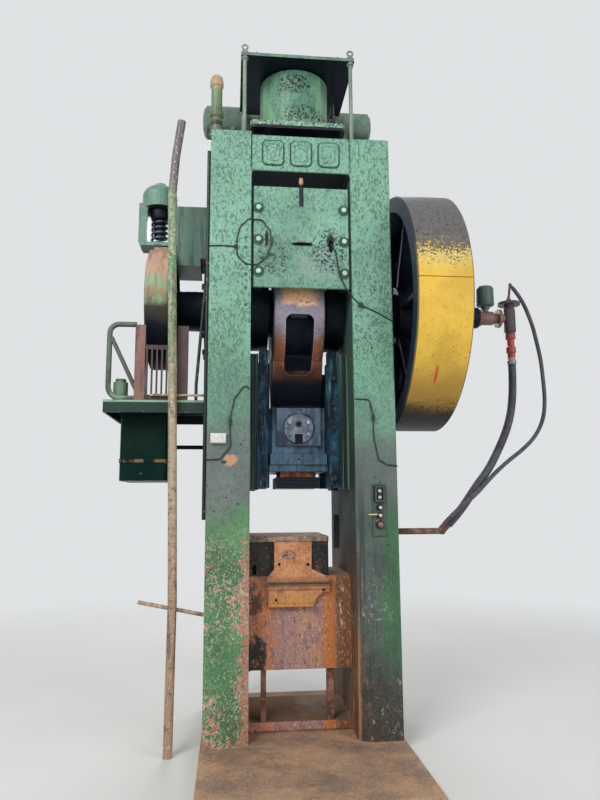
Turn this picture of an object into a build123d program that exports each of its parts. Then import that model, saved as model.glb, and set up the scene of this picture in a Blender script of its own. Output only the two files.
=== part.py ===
from build123d import *
import math
import os

# Hot forging press with an eccentric shaft across its frame. Millimetres.
# X runs to the right, Y away from the operator, Z up. The origin lies on the underside of the
# base plate, below the middle of the frame.

# Base plate and frame
base_thickness = 60.0
base_front_reach = 900.0
base_rear_reach = 110.0
base_side_margin = 15.0
frame_width = 1400.0
frame_depth = 1200.0
frame_height = 4488.0
frame_edge_round = 14.0
column_width = 314.0
crown_height = 292.0
crown_recess = 8.0
crown_groove = 10.0
bed_top_height = 1100.0
bed_underside_height = 430.0
bed_setback = 280.0
sill_height = 70.0
window_round = 30.0
lower_bevel_width = 70.0
lower_bevel_depth = 45.0
lower_bevel_height = 1900.0
pad_width = 160.0
pad_height = 200.0
pad_pitch = 218.0
pad_proud = 10.0
cap_strip = 25.0
side_window_width = 310.0
side_window_height = 285.0
side_window_setback = 770.0
side_window_sill = 1250.0
pocket_width = 760.0
pocket_depth = 60.0
pocket_round = 60.0
pocket_spans = [(240.0, 1120.0), (1720.0, 2640.0), (3780.0, 4330.0)]
anchor_radius = 18.0
anchor_lug_depth = 90.0
anchor_lug_width = 190.0
anchor_lug_height = 70.0
anchor_nut_height = 30.0

# Eccentric shaft, its bearings and the connecting rod
shaft_height = 3219.0
throw = 100.0
stroke = 2.0 * throw
journal_radius = 200.0
eccentric_radius = 330.0
bush_wall = 25.0
running_gap = 0.05
housing_spigot_radius = 340.0
housing_nose_radius = 320.0
housing_flange_radius = 415.0
housing_flange_thickness = 30.0
housing_inner_reach = 232.0
housing_bolt_circle = 378.0
housing_bolt_count = 12
housing_bolt_radius = 14.0
boss_radius = 430.0
boss_height = 15.0
rod_width = 394.0
rod_outer_radius = 465.0
rod_bush_wall = 15.0
rod_length = 969.0
rod_shank_width = 280.0
rod_neck_half = 280.0
rod_neck_drop = 367.0
rod_waist_half = 130.0
rod_waist_drop = 700.0
rod_eye_radius = 130.0
rod_edge_round = 22.0
rod_window_width = 222.0
rod_window_top = 29.0
rod_window_sill = 470.0
rod_window_round = 58.0
rod_window_depth = 150.0
pin_radius = 90.0
pin_length = 310.0

# Flywheel on the right
flywheel_gap = 90.0
flywheel_width = 420.0
flywheel_radius = 987.0
flywheel_rim = 130.0
flywheel_web = 60.0
flywheel_web_offset = 175.0
flywheel_hub_radius = 240.0
flywheel_hub_setback = 60.0
flywheel_hole_circle = 560.0
flywheel_hole_radius = 105.0
flywheel_hole_count = 6
seat_radius = 150.0
collar_radius = 185.0
clutch_radius = 480.0
clutch_thickness = 52.0
clutch_bolt_circle = 430.0
clutch_bolt_count = 18
stub_radius = 90.0
stub_end = 1600.0

# Brake on the left
drum_outer_end = 1190.0
drum_width = 205.0
drum_radius = 475.0
drum_rim = 40.0
drum_web = 40.0
drum_hub_radius = 215.0
neck_radius = 165.0
band_gap = 1.0
band_thickness = 16.0
band_inset = 6.0
band_opening = 14.0
band_lug_height = 8.0
brake_x = -1140.0
brake_rod_radius = 14.0
yoke_low_height = 3750.0
yoke_high_height = 4115.0
yoke_foot = 30.0
yoke_head = 28.0
yoke_half_depth = 95.0
yoke_reach = 162.0
yoke_gap_width = 186.0
console_low_height = 3550.0
console_high_height = 4060.0
console_half_depth = 190.0
brake_cap_radius = 147.0
washer = 12.0
spring_radius = 60.0
spring_wire = 10.0
shelf_height = 2399.0
shelf_thickness = 93.0
shelf_left = -1460.0
shelf_back = 300.0
rail_height = 2983.0
rail_radius = 20.0
strut_radius = 16.0
guard_left = -1241.0
guard_inner = -1166.0
guard_plate_left = -930.0
guard_right = -848.0
guard_top_height = 2815.0
tank_left = -1356.0
tank_right = -1000.0
tank_low_height = 1811.0
tank_ridge_height = 1945.0
tank_outlet_height = 2079.0
tank_outlet_radius = 16.0

# Slide, guides and tools
slide_half_width = 225.0
slide_half_depth = 280.0
slide_bottom_height = 1931.0
slide_top_height = 2375.0
slide_tongue = 37.0
slide_tongue_half = 178.0
slide_cavity_half_width = 165.0
slide_cavity_half_depth = 238.0
slide_floor = 59.0
slide_pad_height = 88.0
slide_pad_proud = 20.0
guide_gap = 0.3
guide_bottom_height = 1740.0
guide_top_gap = 106.0
gib_outer = 318.0
gib_top_drop = 58.0
rail_setback = 250.0
rail_depth = 160.0
oiler_height = 110.0
adjuster_plate_width = 350.0
adjuster_plate_height = 300.0
adjuster_plate_thickness = 25.0
adjuster_centre_height = 2211.0
adjuster_radius = 118.0
adjuster_gap = 0.3
adjuster_thickness = 34.0
upper_plate_thickness = 54.0
upper_holder_thickness = 39.0
upper_block_thickness = 86.0

# Lifting gear of the slide and its air balancer
lift_rod_x = 440.0
lift_rod_y = 400.0
lift_rod_radius = 16.0
lift_hole_gap = 6.0
arm_height = 2290.0
arm_thickness = 60.0
arm_stem_half = 130.0
arm_bar_width = 50.0
arm_clearance = 10.0
balancer_plate_half = 392.0
balancer_plate_height = 4678.0
balancer_plate_thickness = 62.0
barrel_radius = 297.0
barrel_bore = 250.0
barrel_top_height = 5279.0
barrel_head = 35.0
piston_gap = 0.1
piston_thickness = 80.0
piston_rod_radius = 60.0
crosshead_height = 5285.0
crosshead_half_width = 472.0
crosshead_half_depth = 430.0
crosshead_thickness = 27.0
receiver_radius = 158.0
receiver_y = 650.0
receiver_rise = 569.0
receiver_half_length = 828.0
relief_x = 664.0
relief_setback = 120.0
relief_top_height = 5045.0

# Bed and lower tools
bolster_right = 220.0
table_plate_height = 1352.0
table_plate_thickness = 37.0
bracket_thickness = 32.0
ejector_radius = 30.0
ejector_stroke = 60.0
collar_height = 20.0
collar_reach = 45.0

# Front cover
cover_half_width = 366.0
cover_bottom_height = 3254.0
cover_top_height = 4062.0
cover_thickness = 22.0
cover_setback = 4.0
cover_lug_depth = 74.0
cover_lug_inner = 300.0
stud_rise = 78.0
stud_slot_depth = 150.0
cover_bolt_x = 330.0
cover_bolt_heights = [3377.0, 3631.0, 3887.0]
bolt_radius = 12.0
bolt_head_radius = 20.0
bolt_head_height = 15.0

# Air supply on the right, hoses and pipe
union_radius = 60.0
valve_x = 1890.0
coupling_top = 3075.0
coupling_bottom = 2812.0
hose_radius = 33.0
signal_hose_radius = 17.0
pipe_radius = 24.0
pipe_height = 1418.0
pipe_y = -300.0
pipe_end = 1120.0

# Control panel
panel_x = 558.0
panel_half_width = 50.0
panel_top_height = 1775.0
panel_height = 375.0
switch_margin = 13.0
switch_height = 118.0
button_drops = [171.0, 228.0, 293.0]
panel_thickness = 12.0
button_radii = [13.0, 13.0, 21.0]
button_travel = 5.0
button_gap = 0.4

# Values that follow from the ones above
half_width = frame_width / 2
half_depth = frame_depth / 2
front = -half_depth
foot = base_thickness
inner = half_width - column_width
shaft_z = foot + shaft_height
eccentric_z = shaft_z - throw
guide_top_height = shaft_height - housing_nose_radius - guide_top_gap
gib_top_height = guide_top_height - gib_top_drop
receiver_height = balancer_plate_height + balancer_plate_thickness + receiver_rise
pin_z = eccentric_z - rod_length
bush_outer = journal_radius + bush_wall
boss_face = half_width + boss_height
housing_face = boss_face + housing_flange_thickness
wheel_left = half_width + flywheel_gap
wheel_right = wheel_left + flywheel_width
guide_front = front + rail_setback
table_top = foot + table_plate_height + table_plate_thickness
upper_plate_bottom = foot + slide_bottom_height - upper_plate_thickness
frame_top = foot + frame_height
yoke_low = foot + yoke_low_height
yoke_high = foot + yoke_high_height
spring_low = yoke_low + yoke_foot
spring_high = yoke_high - yoke_head


def block(x0, x1, y0, y1, z0, z1):
    """A rectangular solid between two corners."""
    return Pos((x0 + x1) / 2, (y0 + y1) / 2, (z0 + z1) / 2) * Box(x1 - x0, y1 - y0, z1 - z0)


def bar_x(x0, x1, radius, y, z):
    """A round bar along X."""
    return Pos((x0 + x1) / 2, y, z) * Rot(0, 90, 0) * Cylinder(radius, x1 - x0)


def bar_y(y0, y1, radius, x, z):
    """A round bar along Y."""
    return Pos(x, (y0 + y1) / 2, z) * Rot(90, 0, 0) * Cylinder(radius, y1 - y0)


def bar_z(z0, z1, radius, x, y):
    """A round bar along Z."""
    return Pos(x, y, (z0 + z1) / 2) * Cylinder(radius, z1 - z0)


def hexagon_z(z0, z1, radius, x, y):
    """A hexagonal head or nut along Z."""
    return Pos(x, y, z0) * extrude(RegularPolygon(radius, 6), z1 - z0)


def through_y(sketch, y0, y1):
    """A front-view outline, drawn as x and z, carried along Y."""
    return Pos(0, y1, 0) * extrude(Plane.XZ * sketch, y1 - y0)


def through_x(sketch, x0, x1):
    """A side-view outline, drawn as y and z, carried along X."""
    return Pos(x0, 0, 0) * extrude(Plane.YZ * sketch, x1 - x0)


def outline(*points):
    """A closed outline through the points given."""
    return make_face(Polyline(*points, close=True))


def turned_x(points, z):
    """A solid turned about a line along X at the height z, from points of x and radius."""
    return Pos(0, 0, z) * revolve(Plane.XZ * outline(*points), Axis.X)


def turned_z(points, x, y):
    """A solid turned about a vertical line, from points of radius and z."""
    return Pos(x, y, 0) * revolve(Plane.XZ * outline(*points), Axis.Z)


def mirrored(solid):
    """The same piece on the left side."""
    return mirror(solid, Plane.YZ)


def both_sides(solids):
    return solids + [mirrored(solid) for solid in solids]


def tube(points, radius, radii):
    """A round tube along straight runs joined by tangent arcs."""
    path = FilletPolyline(*points, radius=radii)
    section = Plane(origin=path @ 0, z_dir=path % 0) * Circle(radius)
    return sweep(section, path)


def straight(start, end, radius):
    """A round bar between two points."""
    way = Vector(*end) - Vector(*start)
    return extrude(Plane(origin=start, z_dir=way) * Circle(radius), way.length)


def bend_radii(points, share=0.45):
    """The radius at each corner: a share of the shorter run over the tangent of half the turn."""
    radii = []
    for before, corner, after in zip(points, points[1:], points[2:]):
        run_in = Vector(*corner) - Vector(*before)
        run_out = Vector(*after) - Vector(*corner)
        half_turn = math.radians(run_in.get_angle(run_out)) / 2
        radii.append(share * min(run_in.length, run_out.length) / math.tan(half_turn))
    return radii


# Base plate and anchor bolts

def anchor_places():
    """The four anchor bolts behind the columns."""
    middle = (inner + half_width) / 2
    y = half_depth + anchor_lug_depth / 2
    return [(side * (middle + shift), y) for side in (-1, 1) for shift in (-60, 60)]


def base_plate():
    side = half_width + base_side_margin
    plate = block(-side, side, front - base_front_reach, half_depth + base_rear_reach, 0, foot)
    plate = chamfer(plate.edges().group_by(Axis.Z)[-1], 6)
    for x, y in anchor_places():
        plate -= bar_z(foot - 45, foot, anchor_radius, x, y)
    return plate


def anchor_bolts():
    bolts = []
    for x, y in anchor_places():
        top = foot + anchor_lug_height
        bolt = bar_z(foot - 45, top + 45, anchor_radius, x, y)
        bolt += hexagon_z(top, top + anchor_nut_height, anchor_radius * 1.8, x, y)
        bolts.append(bolt)
    return bolts


# Frame

def column_bevel(side):
    """The long taper cut off a column's inner front edge, from the foot up to the slide."""
    edge = side * inner
    low = [(edge, front), (edge + side * lower_bevel_width, front), (edge, front + lower_bevel_depth)]
    point = Vector(edge, front, foot + lower_bevel_height)
    corners = [Vector(x, y, foot - 1) for x, y in low]
    tip = [point, point + Vector(side * 1.5, 0, 0), point + Vector(0, 1.5, 0)]
    lower = make_face(Polyline(*corners, close=True))
    upper = make_face(Polyline(*tip, close=True))
    return Solid.make_loft([lower.wire(), upper.wire()], True)


def cover_lug(side):
    """The strip in the window's corner that the cover is bolted to."""
    seat = front + cover_setback + cover_thickness
    ends = sorted((side * cover_lug_inner, side * (inner + 1)))
    low = foot + cover_bottom_height
    lug = block(ends[0], ends[1], seat, seat + cover_lug_depth, low, foot + cover_top_height)
    for height in cover_bolt_heights:
        lug -= bar_y(seat - 1, seat + 40, bolt_radius, side * cover_bolt_x, foot + height)
    return lug


def frame():
    body = block(-half_width, half_width, -half_depth, half_depth, foot, frame_top)
    body = fillet(body.edges().filter_by(Axis.Z), frame_edge_round)

    window_top = frame_top - crown_height
    bed_top = foot + bed_top_height
    upper = Pos(0, (bed_top + window_top) / 2) * RectangleRounded(
        2 * inner, window_top - bed_top, window_round
    )
    body -= through_y(upper, -half_depth - 1, half_depth + 1)
    body -= block(-inner, inner, -half_depth - 1, half_depth + 1, bed_top, bed_top + 2 * window_round)
    bed_under = foot + bed_underside_height
    sill_top = foot + sill_height
    lower = Pos(0, (bed_under + sill_top) / 2) * RectangleRounded(
        2 * inner, bed_under - sill_top, window_round
    )
    body -= through_y(lower, -half_depth - 1, half_depth + 1)
    bed_face = half_depth - bed_setback
    for y0, y1 in ((-half_depth - 1, -bed_face), (bed_face, half_depth + 1)):
        body -= block(-inner, inner, y0, y1, foot - 1, bed_top + window_round)

    body -= block(-inner, inner, front - 1, front + crown_recess, window_top - 1, frame_top + 1)
    for side in (-1, 1):
        body -= block(
            side * inner - crown_groove / 2,
            side * inner + crown_groove / 2,
            front - 1,
            front + 2 * crown_recess,
            window_top,
            frame_top + 1,
        )
        pad = Pos(side * pad_pitch, 0) * RectangleRounded(pad_width, pad_height, 36)
        pad = Pos(0, window_top + crown_height / 2) * pad
        body += through_y(pad, front + crown_recess - pad_proud, front + crown_recess + 1)
    middle_pad = Pos(0, window_top + crown_height / 2) * RectangleRounded(pad_width, pad_height, 36)
    body += through_y(middle_pad, front + crown_recess - pad_proud, front + crown_recess + 1)
    body += block(-half_width, -inner, front, front + 300, frame_top - 1, frame_top + cap_strip)

    for side in (-1, 1):
        face = side * half_width
        body += bar_x(min(face, side * boss_face), max(face, side * boss_face), boss_radius, 0, shaft_z)
    body -= bar_x(-boss_face - 1, boss_face + 1, housing_spigot_radius, 0, shaft_z)
    for angle in range(housing_bolt_count):
        turn = 2 * math.pi * (angle + 0.5) / housing_bolt_count
        y = housing_bolt_circle * math.cos(turn)
        z = shaft_z + housing_bolt_circle * math.sin(turn)
        for side in (-1, 1):
            ends = sorted((side * (boss_face - 60), side * (boss_face + 1)))
            body -= bar_x(ends[0], ends[1], housing_bolt_radius, y, z)

    window_middle = front + side_window_setback + side_window_width / 2
    side_window = Pos(window_middle, foot + side_window_sill + side_window_height / 2)
    side_window = side_window * RectangleRounded(side_window_width, side_window_height, 24)
    body -= through_x(side_window, -half_width - 1, half_width + 1)

    for low, high in pocket_spans:
        pocket = Pos(0, foot + (low + high) / 2) * RectangleRounded(pocket_width, high - low, pocket_round)
        body -= through_x(pocket, half_width - pocket_depth, half_width + 1)
        body -= through_x(pocket, -half_width - 1, -half_width + pocket_depth)

    arm_z = foot + arm_height
    slot_low = arm_z - 20
    slot_high = arm_z + arm_thickness + stroke + 20
    bar_in = lift_rod_x - arm_bar_width / 2 - arm_clearance
    bar_out = lift_rod_x + arm_bar_width / 2 + arm_clearance
    bar_end = lift_rod_y + arm_bar_width / 2 + arm_clearance + 5
    for side in (-1, 1):
        ends = sorted((side * bar_in, side * bar_out))
        body -= block(ends[0], ends[1], -bar_end, bar_end, slot_low, slot_high)
        ends = sorted((side * (inner - 1), side * (bar_in + 1)))
        stem = arm_stem_half + arm_clearance
        body -= block(ends[0], ends[1], -stem, stem, slot_low, slot_high)
        for y in (-lift_rod_y, lift_rod_y):
            hole = lift_rod_radius + lift_hole_gap
            body -= bar_z(slot_high - 1, frame_top + cap_strip + 1, hole, side * lift_rod_x, y)

    for side in (-1, 1):
        body += cover_lug(side)

    for side in (-1, 1):
        body -= column_bevel(side)

    for x, y in anchor_places():
        lug = block(
            x - anchor_lug_width / 4, x + anchor_lug_width / 4,
            half_depth - 1, half_depth + anchor_lug_depth, foot, foot + anchor_lug_height,
        )
        body += lug
        body -= bar_z(foot - 1, foot + anchor_lug_height + 1, anchor_radius + 2, x, y)

    body -= bar_z(bed_under - 1, bed_top + 1, ejector_radius + 1, 0, 0)
    return body


# Front cover

def cover_plate():
    y0 = front + cover_setback
    y1 = y0 + cover_thickness
    top = foot + cover_top_height
    plate = block(-cover_half_width, cover_half_width, y0, y1, foot + cover_bottom_height, top)
    plate = chamfer(plate.edges().group_by(Axis.Y)[0], 3)
    plate -= block(-8, 8, y0 - 1, y1 + 1, top - stud_slot_depth, top + 1)
    for side in (-1, 1):
        for height in cover_bolt_heights:
            plate -= bar_y(y0 - 1, y1 + 1, bolt_radius + 1, side * cover_bolt_x, foot + height)
    lens = Pos(3, foot + 3603) * SlotOverall(150, 20)
    plate -= through_y(lens, y0 - 1, y1 + 1)
    torn = outline((206, 3668), (222, 3702), (238, 3690), (246, 3640), (236, 3596), (214, 3608))
    plate -= through_y(torn, y0 - 1, y1 + 1)
    return plate


def cover_stud():
    """The eye rod that stands in the cover's slot."""
    top = foot + cover_top_height
    y = front + cover_setback + cover_thickness / 2
    return bar_z(top - stud_slot_depth, top + stud_rise, 7.5, 0, y)


def hex_bolts():
    """The like bolts of the cover and of the gibs."""
    bolts = []
    plate_front = front + cover_setback
    for side in (-1, 1):
        for height in cover_bolt_heights:
            x = side * cover_bolt_x
            z = foot + height
            bolt = bar_y(plate_front, plate_front + cover_thickness + 38, bolt_radius, x, z)
            head = RegularPolygon(bolt_head_radius, 6)
            bolt += through_y(Pos(x, z) * head, plate_front - bolt_head_height, plate_front)
            bolts.append(bolt)
        for z in gib_bolt_heights():
            x = side * gib_bolt_x()
            bolt = bar_y(-slide_half_depth, -slide_half_depth + 80, bolt_radius, x, z)
            head = RegularPolygon(bolt_head_radius, 6)
            y0 = -slide_half_depth - bolt_head_height
            bolt += through_y(Pos(x, z) * head, y0, -slide_half_depth)
            bolts.append(bolt)
    return bolts


# Eccentric shaft and bearings

def bearing_housing(side):
    body = turned_x(
        [
            (housing_inner_reach, bush_outer),
            (housing_inner_reach, housing_nose_radius),
            (inner - 20, housing_nose_radius),
            (inner, housing_spigot_radius - running_gap),
            (boss_face, housing_spigot_radius - running_gap),
            (boss_face, housing_flange_radius),
            (housing_face - 6, housing_flange_radius),
            (housing_face, housing_flange_radius - 6),
            (housing_face, journal_radius + 4),
            (housing_face - 10, journal_radius + 4),
            (housing_face - 10, bush_outer),
        ],
        shaft_z,
    )
    for number in range(housing_bolt_count):
        turn = 2 * math.pi * (number + 0.5) / housing_bolt_count
        y = housing_bolt_circle * math.cos(turn)
        z = shaft_z + housing_bolt_circle * math.sin(turn)
        body -= bar_x(boss_face - 1, housing_face + 1, housing_bolt_radius + 1, y, z)
    return body if side > 0 else mirrored(body)


def housing_bolts():
    bolts = []
    for number in range(housing_bolt_count):
        turn = 2 * math.pi * (number + 0.5) / housing_bolt_count
        y = housing_bolt_circle * math.cos(turn)
        z = shaft_z + housing_bolt_circle * math.sin(turn)
        bolt = bar_x(boss_face - 55, housing_face, housing_bolt_radius, y, z)
        head = Pos(y, z) * RegularPolygon(24, 6)
        bolt += through_x(head, housing_face, housing_face + 18)
        bolts.append(bolt)
        bolts.append(mirrored(bolt))
    return bolts


def bearing_bushes():
    bush = turned_x(
        [
            (housing_inner_reach, journal_radius + running_gap),
            (housing_inner_reach, bush_outer),
            (housing_face - 10, bush_outer),
            (housing_face - 10, journal_radius + running_gap),
        ],
        shaft_z,
    )
    return [bush, mirrored(bush)]


def eccentric_shaft():
    drum_inner_end = drum_outer_end - drum_width
    steps = [
        (-drum_outer_end - 14, 0),
        (-drum_outer_end - 14, seat_radius - 6),
        (-drum_outer_end - 8, seat_radius),
        (-drum_inner_end - 10, seat_radius),
        (-drum_inner_end - 10, neck_radius),
        (-housing_face - 15, neck_radius),
        (-housing_face - 15, journal_radius),
        (housing_face + 5, journal_radius),
        (housing_face + 5, seat_radius),
        (wheel_left + flywheel_hub_setback - 40, seat_radius),
        (wheel_left + flywheel_hub_setback - 40, collar_radius),
        (wheel_left + flywheel_hub_setback - 0.5, collar_radius),
        (wheel_left + flywheel_hub_setback - 0.5, seat_radius),
        (wheel_right + clutch_thickness + 28, seat_radius),
        (wheel_right + clutch_thickness + 28, stub_radius),
        (stub_end - 6, stub_radius),
        (stub_end, stub_radius - 6),
        (stub_end, 0),
    ]
    shaft = turned_x(steps, shaft_z)
    eccentric = bar_x(-rod_width / 2 - 6, rod_width / 2 + 6, eccentric_radius, 0, eccentric_z)
    return shaft + eccentric


def rod_window():
    """The rounded opening through the front of the ring."""
    height = rod_window_sill - rod_window_top
    middle = eccentric_z - (rod_window_sill + rod_window_top) / 2
    sketch = Pos(0, middle) * RectangleRounded(rod_window_width, height, rod_window_round)
    return through_y(sketch, -rod_outer_radius - 10, -rod_window_depth)


def connecting_rod():
    """Ring, tapering shank and eye in one casting."""
    half = rod_width / 2
    ring = bar_x(-half, half, rod_outer_radius, 0, eccentric_z)
    ring = fillet(ring.edges().filter_by(GeomType.CIRCLE), rod_edge_round)
    neck = eccentric_z - rod_neck_drop
    waist = eccentric_z - rod_waist_drop
    taper = outline(
        (-rod_neck_half, neck), (rod_neck_half, neck), (rod_waist_half, waist), (-rod_waist_half, waist),
    )
    shank = through_x(taper, -half, half)
    stem = rod_shank_width / 2
    lower = block(-stem, stem, -rod_waist_half, rod_waist_half, pin_z, waist + 1)
    eye = bar_x(-stem, stem, rod_eye_radius, 0, pin_z)
    body = ring + shank + lower + eye
    bore = eccentric_radius + running_gap + rod_bush_wall
    body -= bar_x(-rod_width, rod_width, bore, 0, eccentric_z)
    body -= bar_x(-rod_width, rod_width, pin_radius, 0, pin_z)
    return body - rod_window()


def big_end_bush():
    outer = eccentric_radius + running_gap + rod_bush_wall
    half = rod_width / 2 - 2
    bush = bar_x(-half, half, outer, 0, eccentric_z)
    bush -= bar_x(-half - 1, half + 1, eccentric_radius + running_gap, 0, eccentric_z)
    return bush - rod_window()


def wrist_pin():
    pin = bar_x(-pin_length / 2, pin_length / 2, pin_radius, 0, pin_z)
    return chamfer(pin.edges().filter_by(GeomType.CIRCLE), 4)


# Flywheel and clutch

def flywheel():
    web_left = wheel_left + flywheel_web_offset
    web_right = web_left + flywheel_web
    hub_left = wheel_left + flywheel_hub_setback
    rim_inner = flywheel_radius - flywheel_rim
    wheel = turned_x(
        [
            (hub_left, seat_radius + running_gap),
            (hub_left, flywheel_hub_radius),
            (web_left, flywheel_hub_radius + 30),
            (web_left, rim_inner - 40),
            (wheel_left + 30, rim_inner),
            (wheel_left, rim_inner),
            (wheel_left, flywheel_radius - 10),
            (wheel_left + 10, flywheel_radius),
            (wheel_right - 10, flywheel_radius),
            (wheel_right, flywheel_radius - 10),
            (wheel_right, rim_inner),
            (wheel_right - 30, rim_inner),
            (web_right, rim_inner - 40),
            (web_right, flywheel_hub_radius + 60),
            (wheel_right, flywheel_hub_radius + 40),
            (wheel_right, seat_radius + running_gap),
        ],
        shaft_z,
    )
    for number in range(flywheel_hole_count):
        turn = 2 * math.pi * number / flywheel_hole_count
        y = flywheel_hole_circle * math.cos(turn)
        z = shaft_z + flywheel_hole_circle * math.sin(turn)
        wheel -= bar_x(web_left - 1, web_right + 1, flywheel_hole_radius, y, z)
        half_step = turn + math.pi / flywheel_hole_count
        rib = block(wheel_left + 70, web_left + 1, -16, 16, flywheel_hub_radius + 10, rim_inner + 6)
        wheel += Pos(0, 0, shaft_z) * Rot(math.degrees(half_step), 0, 0) * rib
    return wheel


def clutch_cover():
    cover = turned_x(
        [
            (wheel_right, seat_radius + 3),
            (wheel_right, clutch_radius),
            (wheel_right + clutch_thickness * 0.5, clutch_radius),
            (wheel_right + clutch_thickness * 0.5, clutch_radius - 90),
            (wheel_right + clutch_thickness, clutch_radius - 130),
            (wheel_right + clutch_thickness, seat_radius + 3),
        ],
        shaft_z,
    )
    for number in range(clutch_bolt_count):
        turn = 2 * math.pi * number / clutch_bolt_count
        y = clutch_bolt_circle * math.cos(turn)
        z = shaft_z + clutch_bolt_circle * math.sin(turn)
        start = wheel_right + clutch_thickness * 0.5
        cover += through_x(Pos(y, z) * RegularPolygon(19, 6), start - 1, start + 15)
    return cover


# Brake

def brake_drum():
    left = -drum_outer_end
    right = left + drum_width
    web = (left + right) / 2
    inside = drum_radius - drum_rim
    return turned_x(
        [
            (left, seat_radius),
            (left, drum_hub_radius - 15),
            (web - drum_web / 2, drum_hub_radius),
            (web - drum_web / 2, inside - 20),
            (left, inside),
            (left, drum_radius),
            (right, drum_radius),
            (right, inside),
            (web + drum_web / 2, inside - 20),
            (web + drum_web / 2, drum_hub_radius),
            (right - 10, drum_hub_radius - 15),
            (right - 10, seat_radius),
        ],
        shaft_z,
    )


def brake_band():
    left = -drum_outer_end + band_inset
    right = left + drum_width - 2 * band_inset
    inside = drum_radius + band_gap
    outside = inside + band_thickness
    band = bar_x(left, right, outside, 0, shaft_z) - bar_x(left - 1, right + 1, inside, 0, shaft_z)
    half = outside * math.sin(math.radians(band_opening))
    band -= block(left - 1, right + 1, -half, half, shaft_z + inside * 0.9, shaft_z + outside + 1)
    for side in (-1, 1):
        ends = sorted((side * half, side * (half + 22)))
        seat = shaft_z + math.sqrt(inside**2 - half**2) + 2
        band += block(left + 20, right - 20, ends[0], ends[1], seat, lug_top())
    return band


def lug_top():
    return shaft_z + drum_radius + band_gap + band_thickness + band_lug_height


def brake_bracket():
    """The console on the column with its yoke above the drum."""
    inner_end = -drum_outer_end + drum_width
    depth = console_half_depth
    console = block(
        inner_end + 9, -half_width, -depth, depth, foot + console_low_height, foot + console_high_height,
    )
    console = chamfer(console.edges().filter_by(Axis.X).group_by(Axis.Z)[-1], 12)
    console -= bar_x(-housing_face - 40, -half_width + 1, boss_radius + 8, 0, shaft_z)
    left = brake_x - yoke_reach
    arm = outline(
        (left + 20, yoke_low), (inner_end + 10, yoke_low), (inner_end + 10, spring_high),
        (brake_x + yoke_gap_width / 2, yoke_high), (left, yoke_high), (left, yoke_low + 30),
    )
    yoke = through_y(arm, -yoke_half_depth, yoke_half_depth)
    yoke += bar_z(spring_high, yoke_high, brake_cap_radius, brake_x, 0)
    gap = Pos(brake_x, (spring_low + spring_high) / 2)
    gap = gap * RectangleRounded(yoke_gap_width, spring_high - spring_low, 18)
    yoke -= through_y(gap, -yoke_half_depth - 1, yoke_half_depth + 1)
    yoke -= bar_z(yoke_low - 1, yoke_high + 1, brake_rod_radius + 2, brake_x, 0)
    return console + yoke


def brake_cylinder():
    low = yoke_high
    r = brake_cap_radius
    return turned_z(
        [
            (brake_rod_radius + 3, low), (r, low), (r, low + 104), (r - 6, low + 112), (r - 10, low + 128),
            (r - 32, low + 158), (r - 70, low + 180), (48, low + 188), (48, low + 206), (0, low + 210),
            (0, low + 90), (100, low + 90), (100, low + 22), (brake_rod_radius + 3, low + 22),
        ],
        brake_x, 0,
    )


def brake_spring():
    """The spring between the washer on the rod and the top of the yoke."""
    low = spring_low + washer + 1
    height = spring_high - low
    turns = 6
    pitch = (height - 2 * spring_wire) / turns
    path = Pos(brake_x, 0, low + spring_wire) * Helix(pitch, pitch * turns, spring_radius)
    section = Plane(origin=path @ 0, z_dir=path % 0) * Circle(spring_wire)
    return sweep(section, path)


def brake_rod():
    """The rod that lifts the pressure beam off the band, with its piston and washer."""
    low = lug_top()
    rod = bar_z(low + 1, yoke_high + 24, brake_rod_radius, brake_x, 0)
    rod += block(brake_x - 30, brake_x + 30, -150, 150, low + 0.3, low + 18)
    rod += bar_z(spring_low + 1, spring_low + 1 + washer, 80, brake_x, 0)
    rod += bar_z(yoke_high + 23, yoke_high + 52, 99.9, brake_x, 0)
    return rod


def drum_guard():
    """Slats on the operator's side below the drum, between two side plates."""
    top = foot + guard_top_height
    low = platform_top()
    high = foot + rail_height - 15
    y = front + 120
    guard = block(guard_inner, guard_right, y - 6, y + 6, low, low + 40)
    guard += block(guard_inner, -1000, y - 6, y + 6, top - 30, top)
    for number in range(5):
        x = guard_inner + 8 + number * 36.5
        guard += block(x, x + 12, y - 14, y + 14, low, top)
    side = outline(
        (y - 14, low), (y + 200, low), (y + 150, low + 201), (y + 30, high), (y - 14, high),
    )
    guard += through_x(side, guard_inner - 10, guard_inner)
    guard += block(guard_left, guard_inner, y - 14, y - 4, low, high)
    guard += block(guard_plate_left, guard_right, y - 14, y - 4, low, high - 4)
    return guard


def platform_top():
    return foot + shelf_height


def platform():
    """The console shelf on the left with its bent rail, strut and oil pot."""
    top = platform_top()
    y0 = front + 105
    x0 = shelf_left
    shelf = block(x0, -half_width, y0, shelf_back, top - shelf_thickness, top)
    hollow = block(x0 + 12, -half_width - 12, y0 + 12, shelf_back - 12, top - shelf_thickness - 1, top - 10)
    shelf -= hollow
    rail_y = y0 + 60
    rail_x = x0 + 22
    high = foot + rail_height
    low = top + rail_radius - 1
    rail_path = [
        (guard_left, rail_y, high), (rail_x, rail_y, high), (rail_x, rail_y, low),
        (guard_left + 51, rail_y, low),
    ]
    rail = tube(rail_path, rail_radius, [70, 90])
    strut = straight((rail_x + 15, rail_y, high - 103), (guard_left + 41, rail_y, top + 10), strut_radius)
    pot = bar_z(top, top + 150, 55, -1360, y0 + 150)
    pot += bar_z(top + 150, top + 176, 40, -1360, y0 + 150)
    return shelf + rail + strut + pot


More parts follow.
